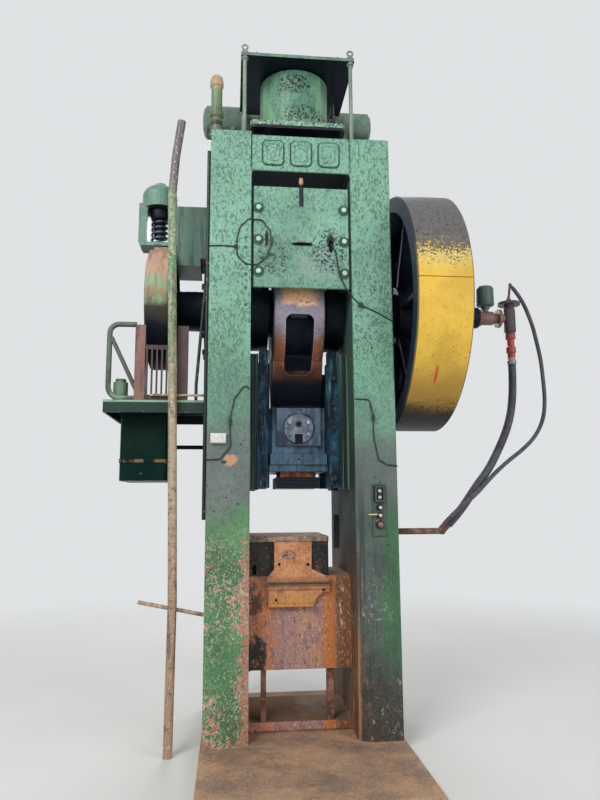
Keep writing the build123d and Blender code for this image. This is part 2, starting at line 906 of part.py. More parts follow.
def oil_tank():
    top = platform_top() - 10
    y0 = front + 260
    y1 = shelf_back - 60
    tank = block(tank_left, tank_right, y0, y1, foot + tank_low_height, top)
    tank = fillet(tank.edges().filter_by(Axis.Z), 40)
    low = foot + tank_ridge_height
    ridge = block(tank_left - 6, tank_right + 6, y0 - 6, y1 + 6, low, low + 30)
    ridge = fillet(ridge.edges().filter_by(Axis.Z), 44)
    wall = -half_width + pocket_depth
    z = foot + tank_outlet_height
    outlet = bar_x(tank_right - 1, wall, tank_outlet_radius, -100, z)
    outlet += bar_x(wall - 14, wall, tank_outlet_radius + 18, -100, z)
    return tank + ridge + outlet


# Slide, guides and tools

def gib_bolt_heights():
    low = foot + guide_bottom_height + 90
    high = foot + gib_top_height - 120
    return [low + (high - low) * number / 4 for number in range(5)]


def gib_bolt_x():
    return (slide_half_width + gib_outer) / 2 + 8


def slide():
    low = foot + slide_bottom_height
    top = foot + slide_top_height
    w = slide_half_width
    d = slide_half_depth
    t = slide_half_width + slide_tongue
    s = slide_tongue_half
    plan = outline(
        (-w + 20, -d), (w - 20, -d), (w, -d + 20), (w, -s), (t, -s), (t, s), (w, s), (w, d - 20),
        (w - 20, d), (-w + 20, d), (-w, d - 20), (-w, s), (-t, s), (-t, -s), (-w, -s), (-w, -d + 20),
    )
    body = Pos(0, 0, low) * extrude(plan, top - low)
    cavity = RectangleRounded(2 * slide_cavity_half_width, 2 * slide_cavity_half_depth, 30)
    body -= Pos(0, 0, low + slide_floor) * extrude(cavity, top - low)
    pad = block(-w + 2, w - 2, -d - slide_pad_proud, -d + 1, low, low + slide_pad_height)
    pad = chamfer(pad.edges().group_by(Axis.Y)[0], 4)
    body += pad
    body -= bar_y(-d - slide_pad_proud - 1, -d + 10, 9, 0, low + slide_pad_height * 0.48)
    return body


def adjuster_plate():
    y1 = -slide_half_depth
    y0 = y1 - adjuster_plate_thickness
    top = foot + slide_top_height
    half = adjuster_plate_width / 2
    plate = block(-half, half, y0, y1, top - adjuster_plate_height, top)
    plate = chamfer(plate.edges().group_by(Axis.Y)[0], 4)
    hole = adjuster_radius + 9
    plate -= bar_y(y0 - 1, y1 - 6, hole, 0, foot + adjuster_centre_height)
    plate -= bar_y(y0 - 1, y1 + 1, adjuster_radius - 20 + adjuster_gap, 0, foot + adjuster_centre_height)
    plate -= block(-26, 26, y0 - 1, y0 + 16, top - 44, top - 8)
    return plate


def adjuster_disc():
    """The notched lock disc in the plate, with its four bolts."""
    z = foot + adjuster_centre_height
    back = -slide_half_depth
    seat = back - 6 - adjuster_gap
    disc = bar_y(back - adjuster_thickness, seat, adjuster_radius, 0, z)
    disc = chamfer(disc.edges().group_by(Axis.Y)[0], 6)
    disc += bar_y(seat - 1, back - adjuster_gap, adjuster_radius - 20, 0, z)
    disc -= block(-31, 31, back - adjuster_thickness - 1, seat - 8, z - adjuster_radius - 1, z - 42)
    disc -= bar_y(back - adjuster_thickness - 1, back - 5, 15, 0, z + 34)
    for x, dz in ((-74, 42), (74, 42), (-70, -46), (70, -46)):
        y0 = back - adjuster_thickness
        disc += through_y(Pos(x, z + dz) * RegularPolygon(15, 6), y0 - 9, y0 + 1)
    return disc


def upper_die_plate():
    low = upper_plate_bottom
    w = slide_half_width
    d = slide_half_depth
    plate = block(-w, w, -d, d, low, low + upper_plate_thickness)
    return chamfer(plate.edges().group_by(Axis.Z)[0], 5)


def upper_die_holder():
    top = upper_plate_bottom
    holder = block(-140, 140, -225, 225, top - upper_holder_thickness, top)
    return chamfer(holder.edges().group_by(Axis.Z)[0], 4)


def upper_die_block():
    top = upper_plate_bottom - upper_holder_thickness
    low = top - upper_block_thickness
    die = block(-170, 170, -240, 240, low, top)
    for z in (top - 20, top - 52):
        for y0, y1 in ((-241, -228), (228, 241)):
            die -= block(-171, 171, y0, y1, z - 14, z)
    return die


def guide_rails():
    """The front and rear rails of the right side."""
    low = foot + guide_bottom_height
    top = foot + guide_top_height
    rails = []
    for way in (1, -1):
        y0 = guide_front
        y1 = guide_front + rail_depth
        plan = outline(
            (gib_outer, y0), (inner - 44, y0), (inner - 44, y0 + 12), (inner - 34, y0 + 12),
            (inner - 34, y0), (inner - 20, y0), (inner - 20, y0 + 12), (inner - 12, y0 + 12),
            (inner - 12, y0), (inner, y0), (inner, y1), (gib_outer, y1),
        )
        rail = Pos(0, 0, low) * extrude(plan, top - low)
        rails.append(rail if way > 0 else mirror(rail, Plane.XZ))
    return rails


def gibs():
    """The front and rear gibs of the right side, with an oiler block on the front one."""
    low = foot + guide_bottom_height + 15
    top = foot + gib_top_height
    y0 = -slide_half_depth
    y1 = -slide_tongue_half - guide_gap
    x0 = slide_half_width + guide_gap
    pieces = []
    for way in (1, -1):
        plan = outline(
            (x0, y0 + 14), (x0 + 14, y0), (gib_outer, y0), (gib_outer, y1), (x0, y1),
        )
        gib = Pos(0, 0, low) * extrude(plan, top - low)
        if way > 0:
            for z in gib_bolt_heights():
                gib -= bar_y(y0 - 1, y0 + 82, bolt_radius, gib_bolt_x(), z)
            oiler = block(x0 + 10, gib_outer - 8, y0, y0 + 80, top, top + oiler_height)
            oiler = chamfer(oiler.edges().group_by(Axis.Z)[-1], 10)
            gib += oiler
        pieces.append(gib if way > 0 else mirror(gib, Plane.XZ))
    return pieces


# Lifting gear and balancer

def lifting_arms():
    """The right and left arm between the slide and the lift rods."""
    low = foot + arm_height
    top = low + arm_thickness
    near = slide_half_width + slide_tongue
    far = lift_rod_x - arm_bar_width / 2
    arm = block(near, far + 1, -arm_stem_half, arm_stem_half, low, top)
    end = lift_rod_y + arm_bar_width / 2
    arm += block(far, lift_rod_x + arm_bar_width / 2, -end, end, low, top)
    for y in (-lift_rod_y, lift_rod_y):
        arm -= bar_z(low - 1, top + 1, lift_rod_radius, lift_rod_x, y)
    return [arm, mirrored(arm)]


def lift_rods():
    rods = []
    low = foot + arm_height
    plate_top = foot + crosshead_height + crosshead_thickness
    for x in (-lift_rod_x, lift_rod_x):
        for y in (-lift_rod_y, lift_rod_y):
            rod = bar_z(low - 14, plate_top + 40, lift_rod_radius, x, y)
            rod += hexagon_z(low - 14, low, lift_rod_radius * 1.45, x, y)
            rod += hexagon_z(plate_top, plate_top + 24, lift_rod_radius * 1.8, x, y)
            under = foot + crosshead_height
            rod += hexagon_z(under - 22, under, lift_rod_radius * 1.8, x, y)
            if y < 0:
                eye = Pos(x, y, plate_top + 62) * Rot(90, 0, 0) * Torus(22, 8)
                rod += eye
            rods.append(rod)
    return rods


def balancer_base():
    low = foot + balancer_plate_height
    top = low + balancer_plate_thickness
    half = balancer_plate_half
    plate = block(-half, half, -half, half, low, top)
    plate = fillet(plate.edges().filter_by(Axis.Z), 40)
    base = plate + bar_z(frame_top, low + 1, 210, 0, 0)
    for x0, x1 in ((-half + 30, -half + 120), (half - 120, half - 30)):
        for y0, y1 in ((-half + 90, -half + 190), (half - 190, half - 90)):
            base += block(x0, x1, y0, y1, frame_top, low + 1)
    return base


def balancer_cylinder():
    low = foot + balancer_plate_height + balancer_plate_thickness
    top = foot + barrel_top_height
    return turned_z(
        [
            (barrel_bore, low),
            (barrel_radius + 34, low),
            (barrel_radius + 34, low + 26),
            (barrel_radius, low + 40),
            (barrel_radius, top - 10),
            (barrel_radius - 10, top),
            (piston_rod_radius + 0.08, top),
            (piston_rod_radius + 0.08, top - barrel_head),
            (barrel_bore, top - barrel_head),
        ],
        0, 0,
    )


def balancer_piston():
    low = foot + balancer_plate_height + balancer_plate_thickness + 12
    piston = bar_z(low, low + piston_thickness, barrel_bore - piston_gap, 0, 0)
    return piston + bar_z(low + 1, foot + crosshead_height, piston_rod_radius, 0, 0)


def crosshead():
    low = foot + crosshead_height
    top = low + crosshead_thickness
    w = crosshead_half_width
    d = crosshead_half_depth
    plate = block(-w, w, -d, d, low, top)
    plate = fillet(plate.edges().filter_by(Axis.Z), 12)
    for x in (-w + 130, w - 130):
        plate += block(x - 8, x + 8, -d + 60, d - 60, top - 1, top + 50)
    plate += block(-w + 130, w - 130, -8, 8, top - 1, top + 50)
    for x in (-lift_rod_x, lift_rod_x):
        for y in (-lift_rod_y, lift_rod_y):
            plate -= bar_z(low - 1, top + 1, lift_rod_radius, x, y)
    return plate


def air_receiver():
    """The vessel with its domed ends, on two stands."""
    z = foot + receiver_height
    r = receiver_radius
    end = receiver_half_length
    vessel = turned_x(
        [
            (-end, 0), (-end + 4, r * 0.45), (-end + 18, r * 0.8), (-end + 44, r), (end - 44, r),
            (end - 18, r * 0.8), (end - 4, r * 0.45), (end, 0),
        ],
        0,
    )
    body = Pos(0, receiver_y, z) * vessel
    for x in (-540, 540):
        stand = outline(
            (half_depth - 260, frame_top), (half_depth - 20, frame_top), (half_depth - 20, z - 330),
            (receiver_y + 120, z - 110), (receiver_y + 120, z - 90), (receiver_y - 120, z - 90),
            (half_depth - 260, z - 330),
        )
        body += through_x(stand, x - 20, x + 20)
        body += block(x - 60, x + 60, half_depth - 280, half_depth, frame_top, frame_top + 18)
    return body


def relief_valve():
    x = -relief_x
    y = front + relief_setback
    low = frame_top + cap_strip
    top = foot + relief_top_height
    return turned_z(
        [
            (0, low), (58, low), (58, low + 22), (46, low + 30), (46, top - 373), (56, top - 365),
            (56, top - 329), (44, top - 321), (44, top - 110), (54, top - 100), (54, top - 62),
            (46, top - 24), (28, top - 6), (0, top),
        ],
        x, y,
    )


# Bed and lower tools

def bolster():
    low = foot + bed_top_height
    top = foot + table_plate_height
    y0 = front + bed_setback
    body = block(-inner + 1, bolster_right, y0, -y0, low, top)
    body = chamfer(body.edges().filter_by(Axis.Z), 8)
    body -= block(-355, -325, y0 - 1, y0 + 45, foot + 1112, foot + 1180)
    body -= bar_z(low - 1, top + 1, ejector_radius + 1, 0, 0)
    body -= bar_z(low - 1, low + collar_height + ejector_stroke + 5, collar_reach + 1, 0, 0)
    return body


def table_plate():
    low = foot + table_plate_height
    y0 = front + bed_setback - 6
    plate = block(-inner + 1, bolster_right + 4, y0, -y0, low, table_top)
    corners = plate.edges().filter_by(Axis.Z).group_by(Axis.X)[-1]
    plate = fillet(corners, 24)
    return plate - bar_z(low - 1, table_top + 1, ejector_radius + 0.5, 0, 0)


def die_bracket():
    """The cast bracket on the front of the bolster and bed, with its ribs and notch."""
    y1 = front + bed_setback
    y0 = y1 - bracket_thickness
    top = foot + table_plate_height - 2
    profile = outline(
        (-194, top), (88, top), (88, foot + 1150), (216, foot + 1090), (222, foot + 1000),
        (222, foot + 985), (168, foot + 985), (120, foot + 935), (92, foot + 880), (-238, foot + 880),
        (-238, foot + 1000), (-253, foot + 1090), (-194, foot + 1150),
    )
    body = through_y(profile, y0, y1)
    body += block(-253, 218, y0 - 26, y0 + 1, foot + 1060, foot + 1090)
    body += block(-245, 222, y0 - 16, y0 + 1, foot + 1008, foot + 1030)
    body += block(-238, 100, y0 - 10, y0 + 1, foot + 880, foot + 905)
    for x, z in ((-156, 1187), (59, 1184), (-179, 930), (176, 1000)):
        body -= bar_y(y0 - 30, y1 + 1, 11, x, foot + z)
    return body


def ejector_pin():
    """The knock-out pin, which rests on the bed with the collar inside the bolster."""
    low = foot + bed_underside_height + 20
    seat = foot + bed_top_height
    pin = bar_z(low, table_top - 1, ejector_radius, 0, 0)
    return pin + bar_z(seat, seat + collar_height, collar_reach, 0, 0)


def window_posts():
    """Two stays between the sill and the bed."""
    low = foot + sill_height
    top = foot + bed_underside_height
    y0 = front + bed_setback + 20
    return [
        block(-288, -250, y0, y0 + 60, low, top),
        block(203, 252, y0, y0 + 60, low, top),
    ]


# Air supply

def rotary_union():
    x0 = stub_end + 0.5
    body = turned_x(
        [
            (x0, 0), (x0, union_radius + 14), (x0 + 22, union_radius + 14), (x0 + 22, union_radius),
            (x0 + 130, union_radius), (x0 + 150, union_radius - 18), (x0 + 176, union_radius - 18),
            (x0 + 176, union_radius + 20), (x0 + 200, union_radius + 20), (x0 + 200, 34),
            (valve_x - 50, 34), (valve_x - 50, 0),
        ],
        shaft_z,
    )
    body += bar_z(shaft_z + union_radius - 12, shaft_z + union_radius + 22, 26, x0 + 75, 0)
    return body


def exhaust_silencer():
    x = stub_end + 75.5
    low = shaft_z + union_radius + 22
    return turned_z(
        [
            (0, low), (34, low), (40, low + 18), (72, low + 30), (76, low + 40), (76, low + 178),
            (66, low + 196), (30, low + 206), (0, low + 208),
        ],
        x, 0,
    )


def air_valve():
    low = foot + coupling_top
    top = foot + 3340
    body = turned_z(
        [
            (0, low), (40, low), (40, low + 20), (50, low + 26), (50, top - 40), (42, top - 30),
            (42, top), (95, top), (95, top + 22), (24, top + 22), (24, top + 50), (18, top + 54),
            (18, top + 62), (0, top + 62),
        ],
        valve_x, 0,
    )
    peak = (valve_x + 21, 0, top + 190)
    body += straight((valve_x, 0, top + 60), peak, 11)
    body += Pos(*peak) * Sphere(15)
    start = signal_hose_points[0]
    body += straight(peak, (start[0] - 0.2, 0, start[2] + 0.25), 13)
    body -= bar_x(valve_x - 60, valve_x - 50, 34, 0, shaft_z)
    return body


def hose_coupling():
    low = foot + coupling_bottom
    top = foot + coupling_top
    return turned_z(
        [
            (0, low), (hose_radius + 1, low), (hose_radius + 6, low + 8), (hose_radius + 6, low + 34),
            (hose_radius, low + 42), (hose_radius, low + 96), (hose_radius + 8, low + 104),
            (hose_radius + 8, low + 150), (hose_radius - 2, low + 160), (hose_radius - 2, top - 44),
            (hose_radius + 10, top - 38), (hose_radius + 10, top), (0, top),
        ],
        valve_x, 0,
    )


air_hose_points = [
    (1890, 0, 2872), (1890, 0, 2722), (1842, -57, 2479), (1772, -99, 2296), (1674, -139, 2126),
    (1567, -178, 1961), (1433, -218, 1817), (1276, -300, 1634), (1170, -300, 1528),
]
signal_hose_points = [
    (1935, 0, 3560), (2010, 0, 3466), (2090, 0, 3251), (2125, 0, 3080), (2155, 0, 2908),
    (2164, 0, 2734), (2169, -1, 2559), (2138, -12, 2389), (2046, -37, 2244), (1915, -76, 2133),
    (1770, -130, 2043), (1631, -192, 1948), (1506, -262, 1850), (1388, -325, 1752),
    (1204, -364, 1622), (1120, -364, 1538),
]


def cord(points, radius, name):
    """A hose's solid, with its bend radii and its volume against section times length printed."""
    radii = bend_radii(points)
    path = FilletPolyline(*points, radius=radii)
    section = Plane(origin=path @ 0, z_dir=path % 0) * Circle(radius)
    solid = sweep(section, path)
    ideal = math.pi * radius**2 * path.length
    print(name, "radii", [round(value) for value in radii])
    print(name, "length", round(path.length, 1), "volume ratio", round(solid.volume / ideal, 5))
    return solid


def air_hose():
    return cord(air_hose_points, hose_radius, "air_hose")


def signal_hose():
    return cord(signal_hose_points, signal_hose_radius, "signal_hose")


def air_pipe():
    """The supply pipe out of the right column, with a junction for the two hoses."""
    z = foot + pipe_height
    pipe = bar_x(half_width, pipe_end, pipe_radius, pipe_y, z)
    pipe += bar_x(half_width, half_width + 16, pipe_radius + 16, pipe_y, z)
    pipe += Pos(pipe_end, pipe_y, z) * Sphere(pipe_radius + 4)
    pipe += straight((pipe_end, pipe_y, z), air_hose_points[-1], pipe_radius)
    branch = (pipe_end - 60, signal_hose_points[-1][1], z)
    pipe += bar_y(branch[1], pipe_y, pipe_radius - 8, branch[0], z)
    pipe += Pos(*branch) * Sphere(pipe_radius - 4)
    pipe += straight(branch, signal_hose_points[-1], pipe_radius - 10)
    return pipe


# Pipes and panel

def service_pipe():
    """The tall leaning conduit on the left with its two ties to the column."""
    y = front + 50
    run = [
        (-931, y, 0), (-922, y, foot + 975), (-954, y, foot + 2427), (-990, y, foot + 3980),
        (-968, y, foot + 4300), (-930, y, foot + 4590),
    ]
    pipe = tube(run, 32, [2000, 6000, 1400, 900])
    upper = bar_x(-1121, -half_width, 9, y + 46, foot + 2434)
    lower = straight((-1164, y + 44, foot + 958), (-half_width - 3, y + 44, foot + 862), 14)
    clip = bar_y(y + 20, y + 58, 16, -954, foot + 2434)
    foot_clip = bar_y(y + 20, y + 50, 16, -921, foot + 910)
    return pipe + upper + lower + clip + foot_clip


def tube_on_front(points, radius, bend):
    """A thin tube that lies on the front face, from points of x and height."""
    y = front - radius
    run = [(x, y, foot + z) for x, z in points]
    return tube(run, radius, [bend] * (len(run) - 2))


def lube_tubes():
    """The grease and air lines on the front, the conduit on the left and the balancer's pipe."""
    loop = tube_on_front(
        [(-497, 3575.3), (-492, 3640), (-468, 3725), (-404, 3788), (-304, 3782), (-242, 3700), (-231, 3600),
         (-262, 3492), (-340, 3424), (-428, 3428), (-486, 3486), (-497, 3550.7)], 5, 28,
    )
    left_drop = tube_on_front(
        [(-392, 2470), (-426, 2500), (-500, 2400), (-532, 2250), (-530, 2116), (-524, 2050), (-600, 1956),
         (-702, 1950)], 5, 26,
    )
    right_drop = tube_on_front(
        [(392, 2404), (500, 2400), (525, 2290), (528, 2116), (562, 1950), (626, 1914), (702, 1906)], 5, 26,
    )
    wire = tube_on_front(
        [(228, 3610), (262, 3540), (284, 3381), (334, 3262), (400, 3174), (446, 3128), (560, 3080),
         (702, 3000)], 5, 26,
    )
    lines = [
        tube_on_front([(-704, 3561), (-610, 3567), (-514.3, 3563)], 5, 25),
        block(-514, -486, front - 14, front, foot + 3551, foot + 3575),
        loop + bar_z(foot + 3592, foot + 3652, 9, -232, front - 9.3),
        left_drop + bar_z(foot + 2200, foot + 2248, 11, -531, front - 11.3),
        right_drop + bar_z(foot + 2240, foot + 2286, 11, 526, front - 11.3),
        wire + block(430, 464, front - 22, front - 0.3, foot + 3110, foot + 3142),
    ]
    lines.append(bar_z(foot + 1524, foot + 4363, 14, -half_width - 14.3, front + 70))
    slant = [
        (-half_width - 32, front + 140, foot + 3287), (-half_width - 88, front + 140, foot + 2520),
        (-half_width - 88, front + 140, platform_top()),
    ]
    lines.append(tube(slant, 12, [120]))
    x = barrel_radius + 53
    feed = [
        (x, 0, foot + balancer_plate_height + balancer_plate_thickness),
        (x, 0, foot + receiver_height - 119),
        (x, receiver_y - 117.5, foot + receiver_height - 119),
    ]
    lines.append(tube(feed, 13, [60]))
    return lines


def junction_box():
    low = foot + 2069
    box = block(-672, -559, front - 34, front, low, low + 72)
    return chamfer(box.edges().group_by(Axis.Y)[0], 5)


def control_panel():
    x0 = panel_x - panel_half_width
    x1 = panel_x + panel_half_width
    y1 = front
    y0 = front - panel_thickness
    top = foot + panel_top_height
    panel = block(x0, x1, y0, y1, top - panel_height, top)
    panel = chamfer(panel.edges().group_by(Axis.Y)[0], 3)
    high = top - switch_margin
    low = high - switch_height
    panel += block(panel_x - 38, panel_x + 38, y0 - 22, y0 + 1, low, high)
    panel -= block(panel_x - 26, panel_x + 26, y0 - 23, y0 - 12, low + 12, high - 12)
    rocker = Pos(panel_x, (low + high) / 2 - 3) * SlotOverall(60, 26, 90)
    panel += through_y(rocker, y0 - 20, y0 - 11)
    for z, radius in button_places():
        panel += bar_y(y0 - 16, y0 + 1, radius + 8, panel_x, z)
        panel -= bar_y(y0 - 17, y1 + 1, button_stem(radius) + button_gap, panel_x, z)
    return panel


def button_places():
    """Height and cap radius of the three push buttons."""
    top = foot + panel_top_height
    return [(top - drop, radius) for drop, radius in zip(button_drops, button_radii)]


def button_stem(radius):
    return radius * 0.7


def push_button(number):
    z, radius = button_places()[number]
    y0 = front - panel_thickness - 16
    stem = bar_y(y0 - button_travel - 2, front - 1 - button_travel, button_stem(radius), panel_x, z)
    cap = bar_y(y0 - button_travel - 12, y0 - button_travel - 0.5, radius, panel_x, z)
    cap = chamfer(cap.edges().group_by(Axis.Y)[0], 4)
    button = stem + cap
    if number == 1:
        button += bar_x(panel_x - 88, panel_x - 8, 5, y0 - button_travel - 8, z + 8)
    return button


nodes = {
    "base_plate": base_plate(),
    "anchor_bolts": anchor_bolts(),
    "frame": frame(),
    "cover_plate": [cover_plate(), cover_stud()],
    "hex_bolts": hex_bolts(),
    "bearing_housing_left": bearing_housing(-1),
    "bearing_housing_right": bearing_housing(1),
    "housing_bolts": housing_bolts(),
    "bearing_bushes": bearing_bushes(),
    "eccentric_shaft": eccentric_shaft(),
    "connecting_rod": connecting_rod(),
    "big_end_bush": big_end_bush(),
    "wrist_pin": wrist_pin(),
    "slide": slide(),
    "adjuster_plate": adjuster_plate(),
    "adjuster_disc": adjuster_disc(),
    "upper_die_plate": upper_die_plate(),
    "upper_die_holder": upper_die_holder(),
    "upper_die_block": upper_die_block(),
    "guide_rails": both_sides(guide_rails()),
    "gibs": both_sides(gibs()),
    "bolster": bolster(),
    "table_plate": table_plate(),
    "die_bracket": die_bracket(),
    "ejector_pin": ejector_pin(),
    "window_posts": window_posts(),
    "flywheel": flywheel(),
    "clutch_cover": clutch_cover(),
    "rotary_union": rotary_union(),
    "exhaust_silencer": exhaust_silencer(),
    "air_valve": air_valve(),
    "hose_coupling": hose_coupling(),
    "air_hose": air_hose(),
    "signal_hose": signal_hose(),
    "air_pipe": air_pipe(),
    "brake_drum": brake_drum(),
    "brake_band": brake_band(),
    "brake_bracket": brake_bracket(),
    "brake_cylinder": brake_cylinder(),
    "brake_spring": brake_spring(),
    "brake_rod": brake_rod(),
    "drum_guard": drum_guard(),
    "platform": platform(),
    "oil_tank": oil_tank(),
    "service_pipe": service_pipe(),
    "balancer_base": balancer_base(),
    "balancer_cylinder": balancer_cylinder(),
    "balancer_piston": balancer_piston(),
    "crosshead": crosshead(),
    "lift_rods": lift_rods(),
    "lifting_arms": lifting_arms(),
    "air_receiver": air_receiver(),
    "relief_valve": relief_valve(),
    "lube_tubes": lube_tubes(),
    "junction_box": junction_box(),
    "control_panel": control_panel(),
    "push_button_upper": push_button(0),
    "push_button_lower": push_button(1),
    "mushroom_button": push_button(2),
}

os.makedirs("parts", exist_ok=True)
for name, shape in nodes.items():
    solids = shape if isinstance(shape, list) else [shape]
    pieces = [solid for piece in solids for solid in piece.solids()]
    export_step(Compound(children=pieces), f"parts/{name}.step")
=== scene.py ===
import math

import bmesh
import bpy
import numpy as np
from bpy.props import FloatProperty, FloatVectorProperty, PointerProperty
from bpy.types import Operator, Panel, PropertyGroup
from mathutils import Matrix, Vector


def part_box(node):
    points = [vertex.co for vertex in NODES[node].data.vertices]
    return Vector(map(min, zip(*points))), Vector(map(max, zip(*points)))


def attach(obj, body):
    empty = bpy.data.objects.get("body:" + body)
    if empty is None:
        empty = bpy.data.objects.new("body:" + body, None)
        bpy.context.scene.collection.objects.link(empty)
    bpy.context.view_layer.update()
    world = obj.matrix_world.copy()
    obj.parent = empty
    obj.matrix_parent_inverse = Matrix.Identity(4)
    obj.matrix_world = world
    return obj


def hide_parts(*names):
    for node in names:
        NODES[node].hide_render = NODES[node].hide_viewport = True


bl_info = {
    "name": "Forging Press Looks",
    "version": (1, 1, 0),
    "blender": (4, 5, 0),
    "location": "View3D > Sidebar > Press",
    "description": "Paints and details a hot forging press on its fixed frame",
    "category": "Object",
}

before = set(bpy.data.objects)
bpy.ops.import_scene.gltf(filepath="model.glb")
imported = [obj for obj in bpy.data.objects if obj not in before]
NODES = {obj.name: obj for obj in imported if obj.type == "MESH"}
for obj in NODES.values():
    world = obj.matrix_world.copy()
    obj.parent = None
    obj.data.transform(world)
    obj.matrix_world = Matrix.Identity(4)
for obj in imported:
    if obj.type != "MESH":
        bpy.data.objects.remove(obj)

# Places on the press at rest, in metres. FRONT is the frame's front face, INNER half the gap between its columns.
SHAFT_Z = 3.279
ECCENTRIC_Z = 3.179
WHEEL_RADIUS = 0.987
FRONT = -0.6
INNER = 0.386
PAD_Z = 4.402
PAD_PLACES = (-0.218, 0.0, 0.218)
OILER_X = -0.425
OILER_HEIGHTS = (3.70, 3.62, 3.49, 3.41, 3.30, 3.17)
COVER_BOLT_X = 0.330
COVER_BOLT_HEIGHTS = (3.437, 3.691, 3.947)
DISC_Z = 2.271
DISC_BOLT_REACH = 0.088
PANEL_X = 0.558
PANEL_Z = 1.6475
SWITCH_Z = 1.763
ROCKER_HEIGHTS = (1.785, 1.738)
KNOB_Y = -0.585
KNOB_JOINT_Z = 4.150
SHEET_GAP = 0.004

# Each button's cap with the body it rides on, its CAD node, height, radius and colour,
# and the radius and colour of the dark collar round it
BUTTONS = (
    ("upper_button_cap", "upper_button", "push_button_upper", 1.664, 0.0125, "#CECEBC", 0.026, "#182020"),
    ("lower_button_cap", "lower_button", "push_button_lower", 1.607, 0.0125, "#CECEBC", 0.026, "#182020"),
    ("stop_button_cap", "stop_button", "mushroom_button", 1.542, 0.0205, "#805C56", 0.032, "#1E2222"),
)

# The photograph's camera: its place in metres, its turns in radians, its focal length and width in pixels
EYE = (-0.5210, -5.4325, 1.7199)
PITCH, YAW, ROLL = 0.14963, 0.10341, -0.00566
FOCAL_LENGTH, PHOTO_WIDTH = 665.09, 600
SENSOR_WIDTH = 36.0

# Each lamp's name, place, target and width in metres, and power in watts; the strength of the light from all round
LAMPS = (
    ("key", (-4.5, -7.0, 7.5), (0, 0, 2.6), 4.0, 560),
    ("fill", (5.5, -6.0, 3.5), (0.4, 0, 2.4), 4.0, 190),
    ("back", (0.5, 6.5, 7.5), (0, 0, 3.5), 5.0, 420),
)
SKY = 0.42

# How a noise is stretched for upright streaks
UPRIGHT = (1, 1, 0.12)


def rgb(colour):
    """The linear colour of a screen colour such as "#86B69E". A colour that is linear already stays."""
    if not isinstance(colour, str):
        return colour
    parts = [int(colour[start:start + 2], 16) / 255 for start in (1, 3, 5)]
    return [p / 12.92 if p <= 0.04045 else ((p + 0.055) / 1.055) ** 2.4 for p in parts] + [1.0]


def dimmed(colour, by):
    """A colour with its light multiplied by a number."""
    return [min(1.0, part * by) for part in rgb(colour)[:3]] + [1.0]


class Field:
    """A number that varies over a surface: a node socket with Python's arithmetic."""

    def __init__(self, surface, socket):
        self.surface = surface
        self.socket = socket

    def math(self, operation, *values, clamp=False):
        """A Math node with an operation on values, as a new field."""
        settings = {"operation": operation, "use_clamp": clamp}
        return Field(self.surface, self.surface.node("ShaderNodeMath", settings, dict(enumerate(values))).outputs[0])

    def __add__(self, other):
        return self.math("ADD", self, other)

    def __radd__(self, other):
        return self.math("ADD", other, self)

    def __sub__(self, other):
        return self.math("SUBTRACT", self, other)

    def __rsub__(self, other):
        return self.math("SUBTRACT", other, self)

    def __mul__(self, other):
        return self.math("MULTIPLY", self, other)

    def __rmul__(self, other):
        return self.math("MULTIPLY", other, self)

    def __truediv__(self, other):
        return self.math("DIVIDE", self, other)

    def __abs__(self):
        return self.math("ABSOLUTE", self)

    def larger(self, other):
        """At each place the larger of two numbers."""
        return self.math("MAXIMUM", self, other)

    def root(self):
        """The square root."""
        return self.math("SQRT", self)

    def clamped(self):
        """Kept between 0 and 1."""
        return self.math("ADD", self, 0.0, clamp=True)

    def rise(self, low, high):
        """0 below low, 1 above high and smooth between; it falls if low is above high."""
        sockets = {"Value": self, "From Min": min(low, high), "From Max": max(low, high)}
        sockets["To Min"], sockets["To Max"] = (1.0, 0.0) if low > high else (0.0, 1.0)
        node = self.surface.node("ShaderNodeMapRange", {"interpolation_type": "SMOOTHSTEP"}, sockets)
        return Field(self.surface, node.outputs["Result"])

    def band(self, low, high, soft=0.004):
        """1 between low and high, 0 outside, with soft edges."""
        return self.rise(low - soft, low + soft) * self.rise(high + soft, high - soft)


